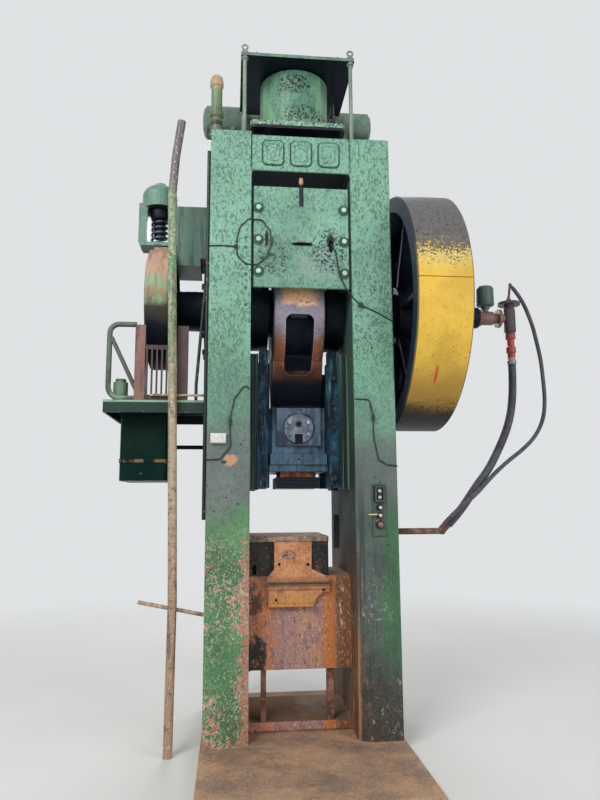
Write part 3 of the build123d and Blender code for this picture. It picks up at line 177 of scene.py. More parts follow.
class Surface:
    """One material while it is built: its shader and the fields that its colours read."""

    def __init__(self, name, roughness=0.6, metallic=0.0, specular=0.5):
        self.material = bpy.data.materials.new(name)
        self.material.use_nodes = True
        self.tree = self.material.node_tree
        self.shader = self.tree.nodes["Principled BSDF"]
        for socket, value in (("Roughness", roughness), ("Metallic", metallic), ("Specular IOR Level", specular)):
            self.shader.inputs[socket].default_value = value
        coords = self.node("ShaderNodeTexCoord")
        self.place = coords.outputs["Object"]
        self.x, self.y, self.z = self.split(self.place)
        self.facing_x, self.facing_y, self.facing_z = self.split(coords.outputs["Normal"])

    def node(self, kind, settings=None, sockets=None):
        """A node of a type: its settings are made first, then each socket gets its value, colour or link."""
        node = self.tree.nodes.new(kind)
        for name, value in (settings or {}).items():
            setattr(node, name, value)
        for name, value in (sockets or {}).items():
            value = value.socket if isinstance(value, Field) else rgb(value)
            if isinstance(value, bpy.types.NodeSocket):
                self.tree.links.new(value, node.inputs[name])
            else:
                node.inputs[name].default_value = value
        return node

    def split(self, socket):
        """The three parts of a vector, as fields."""
        parts = self.node("ShaderNodeSeparateXYZ", None, {0: socket}).outputs
        return [Field(self, parts[place]) for place in range(3)]

    def spread(self, stretch, shift):
        """Object coordinates, stretched and shifted."""
        sockets = {"Vector": self.place, "Location": (shift, shift * 0.7, -shift * 1.3), "Scale": stretch}
        return self.node("ShaderNodeMapping", None, sockets).outputs["Vector"]

    def noise(self, scale, detail=3.0, rough=0.55, stretch=(1, 1, 1), shift=0.0, warp=0.0):
        """Soft clouds, about 0.5 in the middle; each shift gives another pattern."""
        sockets = {"Scale": scale, "Detail": detail, "Roughness": rough, "Distortion": warp}
        sockets["Vector"] = self.spread(stretch, shift)
        return Field(self, self.node("ShaderNodeTexNoise", None, sockets).outputs["Fac"])

    def cells(self, scale, shift=0.0):
        """The distance from the nearest of many scattered points."""
        sockets = {"Vector": self.spread((1, 1, 1), shift), "Scale": scale}
        return Field(self, self.node("ShaderNodeTexVoronoi", {"feature": "F1"}, sockets).outputs["Distance"])

    def spot(self, x, z, radius, height=None, rag=3.0):
        """1 inside an upright oval about (x, z), 0 outside, with a ragged rim as fine as the oval is small."""
        height = height or radius
        across = (self.x - x) / radius
        up = (self.z - z) / height
        ragged = (self.noise(1.8 / min(radius, height), 6, 0.75, shift=x * 9 + z) - 0.5) * rag
        return (across * across + up * up + ragged).rise(1.3, 0.7)

    def cluster(self, x, z, radius, height, share):
        """Black specks crowded in an oval on the operator's side; fewer of them with a larger share."""
        speck = self.noise(46, 5, 0.8, shift=x + z).rise(share, share + 0.03)
        return self.spot(x, z, radius, height) * speck * self.y.rise(0.0, -0.05)

    def outline(self, x, z, width, height, corner, line):
        """1 along the rim of a rounded rectangle: the corner's distance is taken past the straight parts."""
        across = (abs(self.x - x) - (width / 2 - corner)).larger(0.0)
        up = (abs(self.z - z) - (height / 2 - corner)).larger(0.0)
        reach = across * across + up * up
        inside = reach.rise((corner - line) ** 2, corner ** 2)
        return inside * reach.rise((corner + line * 1.5) ** 2, (corner + line * 0.5) ** 2)

    def squared_reach(self, z):
        """The square of the distance from a shaft that lies along x at a height."""
        return self.y * self.y + (self.z - z) * (self.z - z)

    def edge(self, radius, low=0.03, high=0.25):
        """1 along sharp edges, found where the rounded normal leaves the flat one."""
        rounded = self.node("ShaderNodeBevel", {"samples": 4}, {"Radius": radius}).outputs[0]
        flat = self.node("ShaderNodeNewGeometry").outputs["Normal"]
        turn = self.node("ShaderNodeVectorMath", {"operation": "DOT_PRODUCT"}, {0: rounded, 1: flat})
        return (1.0 - Field(self, turn.outputs["Value"])).rise(low, high)

    def seen(self):
        """1 where the camera, metal or glass looks, 0 where only soft light is gathered."""
        path = self.node("ShaderNodeLightPath").outputs
        rays = [Field(self, path[kind]) for kind in ("Is Camera Ray", "Is Glossy Ray", "Is Transmission Ray")]
        return (rays[0] + rays[1] + rays[2]).clamped()

    def layers(self, base, *coats):
        """A base colour under coats of (colour, amount)."""
        for tint, amount in coats:
            base = self.node("ShaderNodeMix", {"data_type": "RGBA"}, {0: amount, 6: base, 7: tint}).outputs[2]
        return base

    def finish(self, colour, height, distance, roughness=None, metallic=None):
        """Puts the colour, a varying roughness or metal and the raised skin on the shader."""
        bump = self.node("ShaderNodeBump", None, {"Strength": 0.8, "Distance": distance, "Height": height})
        sockets = {"Base Color": colour, "Roughness": roughness, "Metallic": metallic, "Normal": bump.outputs["Normal"]}
        for name, value in sockets.items():
            if value is not None:
                self.tree.links.new(value.socket if isinstance(value, Field) else value, self.shader.inputs[name])
        return self.material


def look():
    """The settings of the looks in this scene."""
    return bpy.context.scene.press_look


def clothe(material, *names):
    """Gives a material to CAD nodes."""
    for name in names:
        slots = NODES[name].material_slots
        for slot in slots:
            slot.material = material
        if not slots:
            NODES[name].data.materials.append(material)


# Kinds of paint and metal. Each takes coats, a function from the surface to its coats of (colour, amount).

PIT = "#162628"
PRIMER = "#BE8270"
CREAM = "#CEC2A4"
RUST = "#845238"
DARK_RUST = "#3E2A24"
GREASE = "#101620"
# Painted shade for faces turned downward
UNDERSIDE_SHADE = "#0E1826"
BACKDROP = "#E0E2E4"


def pitted(s, shift=0.0):
    """The skin of the thick enamel: fine short seams, more of them in some places, and a few deep pits."""
    crowd = s.noise(2.6, 3.0, shift=shift + 3).rise(0.36, 0.66)
    seams = (s.noise(66, 3, 0.72, (1, 1, 0.6), shift, 0.5) + crowd * 0.05).rise(0.545, 0.60)
    pits = s.cells(14, shift).rise(0.13, 0.07) * s.noise(6, 2, shift=shift + 5).rise(0.54, 0.58)
    return seams, pits


def worn_enamel(name, main, shade=None, under=PRIMER, chips=0.5, grime=0.5, seed=0.0, pits=0.0, radius=0.006,
                streaks=0.35, below=0.0, specular=0.35, coats=lambda s: ()):
    """Old enamel: two tones, upright streaks, chips down to primer and metal, worn edges, grime, and painted shade, as
    strong as below, on faces turned downward.
    """
    s = Surface(name, specular=specular)
    shade = shade or dimmed(main, 0.55)
    tone = s.noise(1.9, 4, 0.62, shift=seed).rise(0.36, 0.64)
    fine = s.noise(52, 3, 0.6, shift=seed + 1).rise(0.46, 0.66)
    run = s.noise(17, 4, 0.68, UPRIGHT, seed + 3).rise(0.48, 0.64) * streaks
    edge = s.edge(radius)
    flake = s.noise(13, 6, 0.7, shift=seed + 2) + edge * 0.09
    level = 0.70 - 0.12 * chips * look().wear
    chip = flake.rise(level, level + 0.02)
    bare = flake.rise(level + 0.03, level + 0.05)
    soil = s.noise(3.4, 5, 0.68, shift=seed + 4).rise(0.44, 0.70) * grime
    speck = s.noise(64, 4, 0.75, shift=seed + 6).rise(0.60, 0.65)
    colour = s.layers(main, (shade, tone * 0.7), (shade, fine * 0.4), (dimmed(shade, 0.5), run), (GREASE, speck * 0.45))
    skin = fine * 0.3 - chip - speck * 0.4
    if pits:
        seams, holes = pitted(s, seed)
        colour = s.layers(colour, (dimmed(main, 0.2), seams * 0.6 * pits), (PIT, holes * pits))
        skin = skin - seams * 0.7 - holes * 2.0
    colour = s.layers(
        colour, *coats(s), (under, chip), (RUST, bare), ("#2E2C28", soil * 0.8), (under, edge * 0.3 * chips),
        # Painted shade: faces turned downward are darkened by the amount below
        (UNDERSIDE_SHADE, s.facing_z.rise(-0.5, -0.9) * below),
    )
    return s.finish(colour, skin, 0.0014, (0.36 + 0.3 * soil + 0.2 * chip).clamped())


def oiled_steel(name, main, shade, rust=0.2, grease=0.5, seed=0.0, metallic=0.55, scale=1.0, specular=0.35,
                coats=lambda s: ()):
    """Machined steel with old oil: a blue-grey ground, dark runs, thin rust, and bright edges that are worn bare metal
    with a painted highlight.
    """
    s = Surface(name, specular=specular)
    tone = s.noise(4 * scale, 4, 0.65, shift=seed).rise(0.38, 0.62)
    runs = s.noise(14 * scale, 5, 0.72, (1, 1, 0.16), seed + 1).rise(0.47, 0.56) * grease
    spots = s.noise(26, 5, 0.72, shift=seed + 2).rise(0.66 - 0.14 * rust, 0.72 - 0.10 * rust)
    lines = s.noise(60, 2, 0.6, (0.15, 0.15, 1), seed + 5).rise(0.5, 0.7)
    colour = s.layers(
        main, (shade, tone), (dimmed(main, 1.4), lines * 0.18), (RUST, spots * 0.8), (GREASE, runs), *coats(s),
        # Bright sharp edges: worn bare metal, lightened further as a painted highlight
        ("#969EA2", s.edge(0.004) * 0.35),
    )
    rough = (0.36 + 0.2 * tone + 0.3 * spots).clamped()
    metal = (metallic - 0.5 * spots - 0.3 * runs).clamped()
    return s.finish(colour, s.noise(90, 2, shift=seed) * 0.5 - spots, 0.0008, rough, metal)


def rusty_iron(name, main, shade, bright, seed=0.0, scale=1.0, coats=lambda s: ()):
    """Rusted iron: two browns, bright new rust and a scaly skin."""
    s = Surface(name, 0.85, specular=0.25)
    tone = s.noise(3.2 * scale, 5, 0.68, shift=seed).rise(0.38, 0.62)
    patch = s.noise(8 * scale, 5, 0.72, shift=seed + 2).rise(0.52, 0.62)
    grain = s.noise(70, 5, 0.75, shift=seed + 1)
    colour = s.layers(
        main, (shade, tone), (bright, patch * 0.6), (DARK_RUST, grain.rise(0.55, 0.64) * 0.7),
        (CREAM, grain.rise(0.42, 0.36) * 0.25), *coats(s),
    )
    return s.finish(colour, grain + patch * 0.6, 0.002)


def worn(name, main, *nodes, **values):
    """Clothes nodes in old enamel."""
    clothe(worn_enamel(name, main, **values), *nodes)


def steel(name, main, shade, *nodes, **values):
    """Clothes nodes in oiled steel."""
    clothe(oiled_steel(name, main, shade, **values), *nodes)


def iron(name, main, shade, bright, *nodes, **values):
    """Clothes nodes in rusty iron."""
    clothe(rusty_iron(name, main, shade, bright, **values), *nodes)


# The frame's paint

def frame_enamel():
    """The frame's paint: pitted mint above, grey at the ram, green chipped to primer and cream below,
    with rust along the inner edges and on the bed, and painted shade above rust on the walls inside."""
    s = Surface("frame_enamel", 0.5, specular=0.3)
    mint = look().mint
    height = s.z + (s.noise(2.4, 5, 0.65) - 0.5) * 0.6
    right = s.x.rise(-0.05, 0.05)
    fine = s.noise(56, 3, 0.65, shift=1).rise(0.44, 0.66)
    edge = s.edge(0.008)
    seams, pits = pitted(s)
    colour = s.layers(
        column_paint(s, height, right, fine),
        (dimmed(mint, 0.16), seams * (0.30 + 0.34 * height.rise(2.2, 3.0)) * height.rise(1.5, 2.0)),
        # Pale specks on the upper frame: painted highlights on the pitted enamel
        (dimmed(mint, 1.3), s.noise(80, 3, 0.7, shift=33).rise(0.42, 0.36) * height.rise(1.9, 2.4) * 0.55),
        (PIT, pits * 0.9), *[(PIT, s.spot(OILER_X, z, 0.014) * 0.7) for z in OILER_HEIGHTS],
        # Painted shade round and on the crown's raised pads, on faces turned to the front
        *[("#22423A", pad_shade_lines(s, x) * s.facing_y.rise(-0.5, -0.9) * 0.85) for x in PAD_PLACES],
    )
    colour, chip, fleck = chipped_foot(s, colour, right, edge)
    colour = right_marks(s, colour, right)
    soil = s.noise(2.4, 6, 0.7, shift=14).rise(0.46, 0.74) * s.z.rise(3.2, 0.9)
    inside = abs(s.x).rise(INNER + 0.004, INNER - 0.002) * s.y.rise(FRONT + 0.012, FRONT + 0.03)
    colour = s.layers(
        colour, ("#383630", soil * 0.45), ("#243632", edge * s.z.rise(1.8, 2.4) * 0.7), (inner_shade_and_rust(s), inside),
    )
    skin = fine * 0.25 - chip * 0.8 - seams * height.rise(1.9, 2.6) * 0.9 - pits * 2.0 + fleck * 0.3
    return s.finish(colour, skin, 0.0018, (0.42 + 0.25 * soil + 0.25 * chip + 0.3 * inside).clamped())


def column_paint(s, height, right, fine):
    """The columns' own colours, from the foot up: green, grey, dull mint and mint."""
    mint, leaf = look().mint, look().leaf
    tone = s.noise(1.6, 4, 0.6, shift=2).rise(0.36, 0.64)
    streak = s.noise(24, 4, 0.7, (1, 1, 0.09), 21).rise(0.46, 0.62)
    green_side = (s.x + (s.noise(3.4, 5, 0.68, (1, 1, 0.5), 6) - 0.5) * 0.5).rise(0.53, 0.62)
    upper = s.layers(mint, (dimmed(mint, 0.72), tone * 0.7), (dimmed(mint, 0.6), fine * 0.4))
    middle = s.layers("#74A48A", ("#688E7A", tone), ("#587668", fine * 0.5))
    grey = s.layers("#78827E", ("#627068", right), ("#5C6662", tone * 0.7), ("#4E5856", fine * 0.45))
    low_left = s.layers(leaf, (dimmed(leaf, 0.62), tone), (dimmed(leaf, 0.5), fine * 0.5))
    low_right = s.layers(
        "#54625A", ("#3E4C4A", tone), ("#406C4A", green_side * height.rise(0.35, 0.75)),
        ("#423E38", height.rise(0.75, 0.35)), ("#283032", streak * 0.55 * (1.0 - green_side * 0.5)),
    )
    return s.layers(
        low_left, (low_right, right), (grey, height.rise(1.52, 1.74)), (middle, height.rise(2.05, 2.45)),
        (upper, height.rise(2.55, 3.3)),
    )


def pad_shade_lines(s, x):
    """Painted shade in lines round a raised pad of the crown and, fainter, on it."""
    return s.outline(x, PAD_Z, 0.160, 0.200, 0.036, 0.009).larger(s.outline(x, PAD_Z, 0.096, 0.136, 0.030, 0.006) * 0.5)


def chipped_foot(s, colour, right, edge):
    """Chips down to primer and cream, most of them at the left foot; also the fields of chips and of flecks."""
    inner_edge = (abs(s.x) - (INNER + (s.noise(9, 6, 0.75, shift=4) - 0.5) * 0.34)).rise(0.075, 0.02)
    inner_edge = inner_edge * s.z.rise(1.62, 1.1) * (1.0 - right * 0.8)
    foot = s.z.rise(1.65, 1.2)
    patch = (s.noise(3.6, 4, 0.65, shift=19) - 0.5) * 0.42
    patch = patch - s.z.band(0.32, 0.74, 0.1) * 0.03 + s.z.band(0.84, 1.24, 0.08) * 0.03
    flake = s.noise(12, 7, 0.74, shift=8) + edge * 0.08 + inner_edge * 0.13
    flake = flake + foot * (0.10 + patch - right * (0.10 + patch)) + s.z.rise(0.35, 0.12) * 0.06
    chip = flake.rise(0.665, 0.69)
    fleck = (s.noise(84, 4, 0.78, (1, 1, 0.7), 31, 0.3) + inner_edge * 0.02 + patch * 0.55).rise(0.535, 0.575)
    fleck = fleck * foot * (1.0 - right * 0.9)
    dark_fleck = s.noise(76, 4, 0.78, (1, 1, 0.7), 37).rise(0.55, 0.60) * foot
    under = s.layers(PRIMER, (CREAM, s.noise(34, 5, 0.75, shift=11).rise(0.50, 0.58) * 0.8))
    colour = s.layers(
        colour, (under, chip), ("#96624E", flake.rise(0.71, 0.74) * 0.6), ("#C0826C", inner_edge * 0.75),
        ("#D6C8B0", fleck * 0.8), ("#2C3E32", dark_fleck * 0.6),
        ("#C09274", s.spot(-0.525, 2.01, 0.050, 0.042, 4.5)),
        ("#383C38", s.spot(-0.575, 1.995, 0.022, 0.012, 4.0)),
    )
    return colour, chip, fleck


def right_marks(s, colour, right):
    """The right column's pale scars, its rusty inner edge and the dark runs beside it."""
    scar = s.noise(48, 4, 0.75, (1, 1, 0.5), 41).rise(0.58, 0.62) * right * s.z.band(0.15, 1.1, 0.2)
    scar = scar * s.noise(4, 3, shift=45).rise(0.46, 0.58)
    rim = right * (abs(s.x) - (s.noise(10, 5, 0.75, shift=47) - 0.5) * 0.05).rise(0.408, 0.398) * s.z.rise(0.9, 0.7)
    run = s.noise(34, 3, 0.6, (1, 1, 0.02), 43).rise(0.50, 0.58) * right * abs(s.x).rise(0.47, 0.43)
    run = run * s.z.rise(2.0, 1.6)
    return s.layers(colour, ("#BAC4B6", scar * 0.55), ("#B07E58", rim * 0.8), ("#344040", run * 0.8))


def inner_shade_and_rust(s):
    """The walls between the columns, painted shade above and rusty below, and the bed's rusty front."""
    wall = s.layers(
        # The walls' near-black ground is painted shade; the browns and cream flecks below are rust and wear
        "#162228", ("#5E3E2E", s.z.rise(1.5, 1.1)),
        ("#A06C4C", s.noise(9, 6, 0.75, (1, 1, 0.2), 3).rise(0.5, 0.60) * s.z.rise(1.3, 1.0)),
        (CREAM, s.noise(34, 5, 0.75, (1, 1, 0.14), 13).rise(0.59, 0.64) * s.z.rise(1.4, 1.0) * 0.8),
    )
    pale = (s.x + (s.noise(5, 3, shift=27) - 0.5) * 0.1).band(0.295, 0.315, 0.012)
    pale = pale * s.noise(34, 5, 0.78, (1, 1, 0.4), 17).rise(0.54, 0.57) * s.z.rise(0.62, 0.72)
    bed = s.layers(
        "#A6807A",
        ("#BA8C6C", s.noise(8, 6, 0.78, (1, 1, 0.4), 5).rise(0.52, 0.60) * 0.8),
        ("#806462", s.noise(30, 4, 0.7, (1, 1, 0.25), 25).rise(0.50, 0.60) * 0.6),
        ("#CE8662", s.x.rise(-0.14, -0.24) * s.noise(8, 6, 0.75, shift=9).rise(0.42, 0.52)),
        ("#C47A46", (s.x + (s.noise(9, 5, 0.75, shift=23) - 0.5) * 0.1).band(0.17, 0.27, 0.015)),
        ("#805432", s.x.rise(0.25, 0.29) * 0.9),
        ("#E2DACC", pale),
        ("#DEBEA6", s.noise(58, 4, 0.78, (1, 1, 0.6), 6).rise(0.565, 0.60) * 0.65),
        ("#4A322C", s.noise(46, 5, 0.78, (1, 1, 0.6), 16).rise(0.57, 0.61) * 0.7),
        ("#183634", s.spot(-0.330, 0.60, 0.082, 0.145) * s.noise(17, 6, 0.75, shift=31).rise(0.36, 0.50) * 0.92),
        ("#3A3C3A", s.spot(-0.35, 0.96, 0.065, 0.14, 4.0) * s.noise(19, 6, 0.75, shift=35).rise(0.38, 0.52) * 0.8),
    )
    front = s.z.band(0.07, 1.16, 0.01) * s.facing_y.rise(-0.5, -0.9)
    return s.layers(wall, (bed, front), ("#765A42", s.facing_z.rise(0.5, 0.9) * s.z.rise(1.3, 1.1)))


# Paints of single pieces

def rod_enamel():
    """The rod, its light and shade painted by height: a painted copper highlight on top, grey-blue in the middle,
    painted shade in brown at the sides and lower down and in black at the foot, painted shade in its window's hollow
    and a painted highlight along its edges.
    """
    s = Surface("rod_enamel", 0.6, specular=0.12)
    height = s.z + (s.noise(9, 6, 0.72) - 0.5) * 0.14
    speck = s.noise(60, 5, 0.75, shift=2)
    away = abs(s.x)
    hollow = away.rise(0.116, 0.110) * s.z.band(2.70, 3.15, 0.005) * s.squared_reach(ECCENTRIC_Z).rise(0.205, 0.195)
    colour = s.layers(
        # Painted light and shade of the rounded rod: black and browns below where it turns downward, copper highlights
        # on top
        "#080C1A",
        ("#462C22", height.rise(2.62, 2.73)),
        ("#945C42", height.rise(2.73, 2.82)),
        ("#8A8692", height.rise(2.93, 3.02)),
        ("#684840", away.rise(0.10, 0.19) * height.rise(3.16, 2.96) * height.rise(2.66, 2.74) * 0.7),
        ("#E2B296", height.rise(3.20, 3.24) * away.rise(0.17, 0.11)),
        ("#FFCEA0", height.rise(3.22, 3.27) * away.rise(0.13, 0.05)),
        ("#603C38", s.noise(40, 4, 0.75, shift=9).rise(0.56, 0.62) * height.rise(3.2, 3.25) * 0.6),
        ("#24222C", speck.rise(0.56, 0.62) * 0.6),
        ("#CEBEB0", speck.rise(0.42, 0.36) * height.rise(2.7, 2.85) * 0.35),
        # Painted highlight along the edges
        ("#E2DCD6", s.edge(0.007) * 0.6 * height.rise(2.62, 2.8)),
        # Painted shade in the window's hollow
        ("#060E24", hollow),
    )
    return s.finish(colour, speck, 0.0012)


def wheel_enamel():
    """The flywheel: grey under soot above, yellow with dark specks in the middle, then painted shade through dull
    yellow, brown and black towards the bottom of the rim; its faces near-black as painted shade.
    """
    s = Surface("wheel_enamel", 0.5, specular=0.2)
    height = s.z - SHAFT_Z + (s.noise(3, 5, 0.65) - 0.5) * 0.2
    speck = s.noise(58, 5, 0.78, shift=2)
    pale = s.noise(70, 4, 0.78, shift=12).rise(0.54, 0.58)
    sooty = height.rise(0.26, 0.38)
    yellow = look().yellow
    rim = s.layers(
        yellow, (dimmed(yellow, 0.80), s.noise(3.4, 5, 0.65, shift=1).rise(0.38, 0.62)),
        ("#785E28", (speck + height.rise(-0.2, -0.6) * 0.05).rise(0.62, 0.67) * 0.65),
        ("#CEBA78", height.rise(0.02, 0.20) * 0.6),
        ("#221E1C", (speck + height.rise(0.0, 0.36) * 0.22).rise(0.63, 0.67)),
        ("#E8DCA0", height.band(0.10, 0.26, 0.06) * pale * 0.8),
        ("#686564", (height + (speck - 0.5) * 0.5).rise(0.22, 0.34)),
        ("#4A4A4E", sooty * s.cells(24, 3).rise(0.30, 0.16) * 0.8),
        ("#1E2024", sooty * speck.rise(0.54, 0.6) * 0.7),
        # Painted shade towards the bottom of the rim: dull yellow, brown, then black
        ("#AA843E", height.rise(-0.52, -0.74) * 0.8),
        ("#544026", (height + (speck - 0.5) * 0.4).rise(-0.79, -0.89)),
        ("#1E1C18", height.rise(-0.86, -0.94)),
        ("#C4462E", s.spot(0.975, 2.63, 0.012, 0.060, 0.8) * 0.85),
        ("#5C421A", (s.z - 3.30).band(-0.004, 0.004, 0.003) * 0.8),
    )
    outer = s.squared_reach(SHAFT_Z).rise((WHEEL_RADIUS - 0.022) ** 2, (WHEEL_RADIUS - 0.008) ** 2)
    # Near-black navy on the wheel's faces is painted shade; the rim's colours lie only on its outer face
    colour = s.layers(
        "#14243A", ("#382C2A", s.noise(7, 5, 0.72, shift=9).rise(0.50, 0.64) * 0.7),
        ("#584E48", s.edge(0.008) * 0.6), (rim, outer * abs(s.facing_x).rise(0.8, 0.5)),
    )
    return s.finish(colour, speck, 0.0014, (0.42 + 0.3 * speck.rise(0.5, 0.7)).clamped())


def drum_enamel():
    """The brake's band: pink above, pale green at mid height, and painted shade going dark to black below, with upright
    streaks.
    """
    s = Surface("drum_enamel", 0.6, specular=0.15)
    height = s.z - SHAFT_Z + (s.noise(6, 5, 0.7) - 0.5) * 0.16
    green = s.noise(9, 6, 0.75, (1, 1, 0.6), 5).rise(0.46, 0.54)
    colour = s.layers(
        # Painted shade: the band darkens to black towards its bottom
        "#0A1220",
        ("#403E36", height.rise(-0.26, -0.12)),
        ("#968C70", height.rise(-0.12, 0.0)),
        ("#C09C86", height.rise(-0.02, 0.10)),
        ("#8CB28C", height.band(-0.06, 0.15, 0.05) * green),
        ("#28282C", s.noise(30, 4, 0.7, (1, 0.2, 0.06), 2).rise(0.46, 0.60) * 0.35),
        ("#282428", s.x.rise(-1.03, -1.0) * 0.8),
        ("#CEBAA0", s.edge(0.005) * 0.5),
    )
    return s.finish(colour, s.noise(60, 3), 0.0012)


def pipe_enamel():
    """The tall leaning pipe: grey at the top, yellow-green flecked paint below it, then bare tan and pink."""
    s = Surface("pipe_enamel", 0.55)
    height = s.z + (s.noise(6, 4, 0.7) - 0.5) * 0.5
    fleck = s.noise(26, 5, 0.75, shift=2)
    yellow = s.noise(13, 4, 0.7, (1, 1, 0.5), 14).rise(0.52, 0.58)
    green = s.noise(17, 5, 0.75, (1, 1, 0.6), 4).rise(0.49, 0.56)
    colour = s.layers(
        "#A68870", ("#AA987E", height.rise(1.2, 1.9)), ("#969E82", height.rise(2.7, 3.2)),
        ("#C4BE78", height.band(2.5, 3.9, 0.2) * yellow * 0.7),
        ("#5C8C60", height.rise(2.4, 3.0) * green),
        ("#686264", height.rise(3.98, 4.16)),
        ("#3E3630", fleck.rise(0.45, 0.40) * 0.7),
        ("#D8C8B4", s.noise(44, 4, 0.75, shift=8).rise(0.56, 0.61) * 0.6),
        ("#544A42", s.noise(14, 4, 0.7, UPRIGHT, 12).rise(0.54, 0.62) * 0.6),
    )
    return s.finish(colour, fleck, 0.0012)


def cover_enamel():
    """The cover's paint with soot round its torn hole and slots, and painted shadows round its bolt heads."""
    def bolt_shadow_ring(s, z):
        """A painted shadow round a bolt head and a little below it, alike on both sides."""
        across, up = abs(s.x) - COVER_BOLT_X, s.z - z + 0.004
        return (across * across + up * up).rise(0.050 ** 2, 0.040 ** 2) * 0.8

    def coats(s):
        """Soot and pale wear, then the slot's dark end and the painted shadows round the bolts."""
        return (
            ("#8A9E96", s.spot(0.14, 3.50, 0.17, 0.12) * 0.5),
            ("#608276", s.spot(-0.20, 3.66, 0.07, 0.06) * 0.7),
            ("#141E28", s.cluster(0.21, 3.62, 0.15, 0.17, 0.51)),
            ("#141E28", s.spot(0.225, 3.69, 0.030, 0.055)),
            ("#28383C", s.cluster(-0.22, 3.54, 0.13, 0.13, 0.52)),
            ("#101A20", s.spot(-0.268, 3.70, 0.014, 0.065)),
            ("#3C2E28", s.spot(0.003, 3.662, 0.082, 0.018)),
            ("#162228", abs(s.x).rise(0.021, 0.014) * s.z.rise(3.955, 3.975)),
            # Painted shadows round the bolt heads
            *[("#162E2A", bolt_shadow_ring(s, z)) for z in COVER_BOLT_HEIGHTS],
        )

    return worn_enamel(
        "cover_enamel", dimmed(look().mint, 1.06), chips=0.1, grime=0.1, pits=1.0, seed=4, streaks=0.15, coats=coats,
    )


def barrel_enamel():
    """The balancer's paint: upright light and dark runs with black specks at the top and near the base, and the base
    below the barrel in near-black painted shade.
    """
    low, high = [corner[2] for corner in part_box("balancer_cylinder")]

    def coats(s):
        """Light runs and black specks, then pale and black flecks near the foot, then painted shade on the base below.
        """
        pale = s.noise(44, 4, 0.78, shift=58).rise(0.54, 0.58) * s.z.rise(low + 0.13, low + 0.04)
        black = s.noise(40, 4, 0.78, shift=59).rise(0.55, 0.59) * s.z.rise(low + 0.10, low + 0.03)
        return (
            ("#88BA8C", s.noise(9, 3, 0.6, UPRIGHT, 57).rise(0.52, 0.60) * s.y.rise(0.0, -0.1) * 0.6),
            ("#10161E", s.cluster(-0.02, high - 0.13, 0.13, 0.09, 0.49)),
            ("#10161E", s.cluster(0.10, low + 0.12, 0.22, 0.10, 0.50)),
            ("#D6E0D2", pale * 0.8),
            ("#142022", black * 0.9),
            # Painted shade on the base below the barrel
            ("#0A121E", s.z.rise(low - 0.034, low - 0.040)),
        )

    return worn_enamel(
        "barrel_enamel", "#7AAA8C", "#527E68", chips=0.25, grime=0.15, pits=0.8, seed=51, streaks=0.5, below=0.6,
        coats=coats,
    )


def bracket_enamel():
    """The bed's bracket: orange enamel, a bare purple-grey patch, dark grooves and rusty runs."""
    s = Surface("bracket_enamel", 0.6)
    tone = s.noise(7, 5, 0.72).rise(0.44, 0.60)
    grain = s.noise(52, 5, 0.78, shift=5)
    bare = s.spot(-0.085, 1.315, 0.056, 0.034, 4.0) * s.noise(44, 5, 0.78, shift=8).rise(0.44, 0.54)
    colour = s.layers(
        "#CC8E62", ("#AC7048", tone), ("#6E544A", s.noise(16, 5, 0.72, shift=3).rise(0.56, 0.62) * 0.8),
        ("#544656", bare),
        ("#785C40", s.z.band(1.075, 1.145, 0.01) * 0.7), ("#3A2C28", s.z.band(1.10, 1.108, 0.003) * 0.8),
        ("#BA843E", s.z.rise(1.06, 1.0) * 0.6), (DARK_RUST, grain.rise(0.57, 0.62) * 0.75),
        ("#DEB284", grain.rise(0.40, 0.35) * 0.4), ("#2C2222", s.edge(0.006) * 0.45),
    )
    return s.finish(colour, grain + tone * 0.4, 0.0016)


def rail_enamel():
    """The guide rails: green paint left on the tongues, dark oil in the grooves, in upright lines."""
    s = Surface("rail_enamel", 0.5, specular=0.25)
    line = s.noise(70, 2, 0.5, (1, 0.4, 0.01), 3)
    colour = s.layers(
        "#2C4642", ("#1A2E34", s.noise(5, 4, 0.7, (1, 1, 0.3), 27).rise(0.42, 0.60)),
        ("#5C8268", line.rise(0.54, 0.60) * 0.8), (GREASE, line.rise(0.44, 0.38)),
        (RUST, s.noise(22, 5, 0.75, shift=5).rise(0.62, 0.66) * 0.4), ("#7E9C84", s.edge(0.004) * 0.5),
    )
    return s.finish(colour, line, 0.001)


def dusty_rubber():
    """The hoses' old rubber with a dusty bloom."""
    s = Surface("hose_rubber", 0.65)
    colour = s.layers(
        "#464850", ("#30323A", s.noise(9, 4, 0.6).rise(0.42, 0.62)),
        ("#747476", s.noise(70, 4, 0.7).rise(0.56, 0.66) * 0.4),
        ("#604E42", s.noise(5, 4, 0.7, shift=4).rise(0.56, 0.64) * 0.5),
    )
    return s.finish(colour, s.noise(160, 2), 0.0006)


def panel_enamel():
    """The control panel: a dark rim, the switch's box, well and rocker, and dark collars round the buttons."""
    def coats(s):
        """The well, the box's rim, the rocker's two ends in painted highlights, the collars and the panel's own rim."""
        upper, lower = (s.spot(PANEL_X, z, 0.012, rag=0.4) for z in ROCKER_HEIGHTS)
        return (
            ("#141A1C", s.z.band(1.716, 1.810, 0.001) * abs(s.x - PANEL_X).rise(0.027, 0.025)),
            ("#161E1E", s.outline(PANEL_X, SWITCH_Z, 0.074, 0.116, 0.010, 0.006)),
            # Painted highlights on the rocker's two ends
            ("#C8C8C0", upper.larger(lower)),
            *[(shade, s.spot(PANEL_X, z, reach, rag=0.5)) for *_, z, radius, tint, reach, shade in BUTTONS],
            ("#1E2C28", s.outline(PANEL_X, PANEL_Z, 0.104, 0.379, 0.004, 0.004)),
        )

    return worn_enamel("panel_enamel", "#52625C", chips=0.2, grime=0.3, seed=71, radius=0.003, coats=coats)


# Shapes

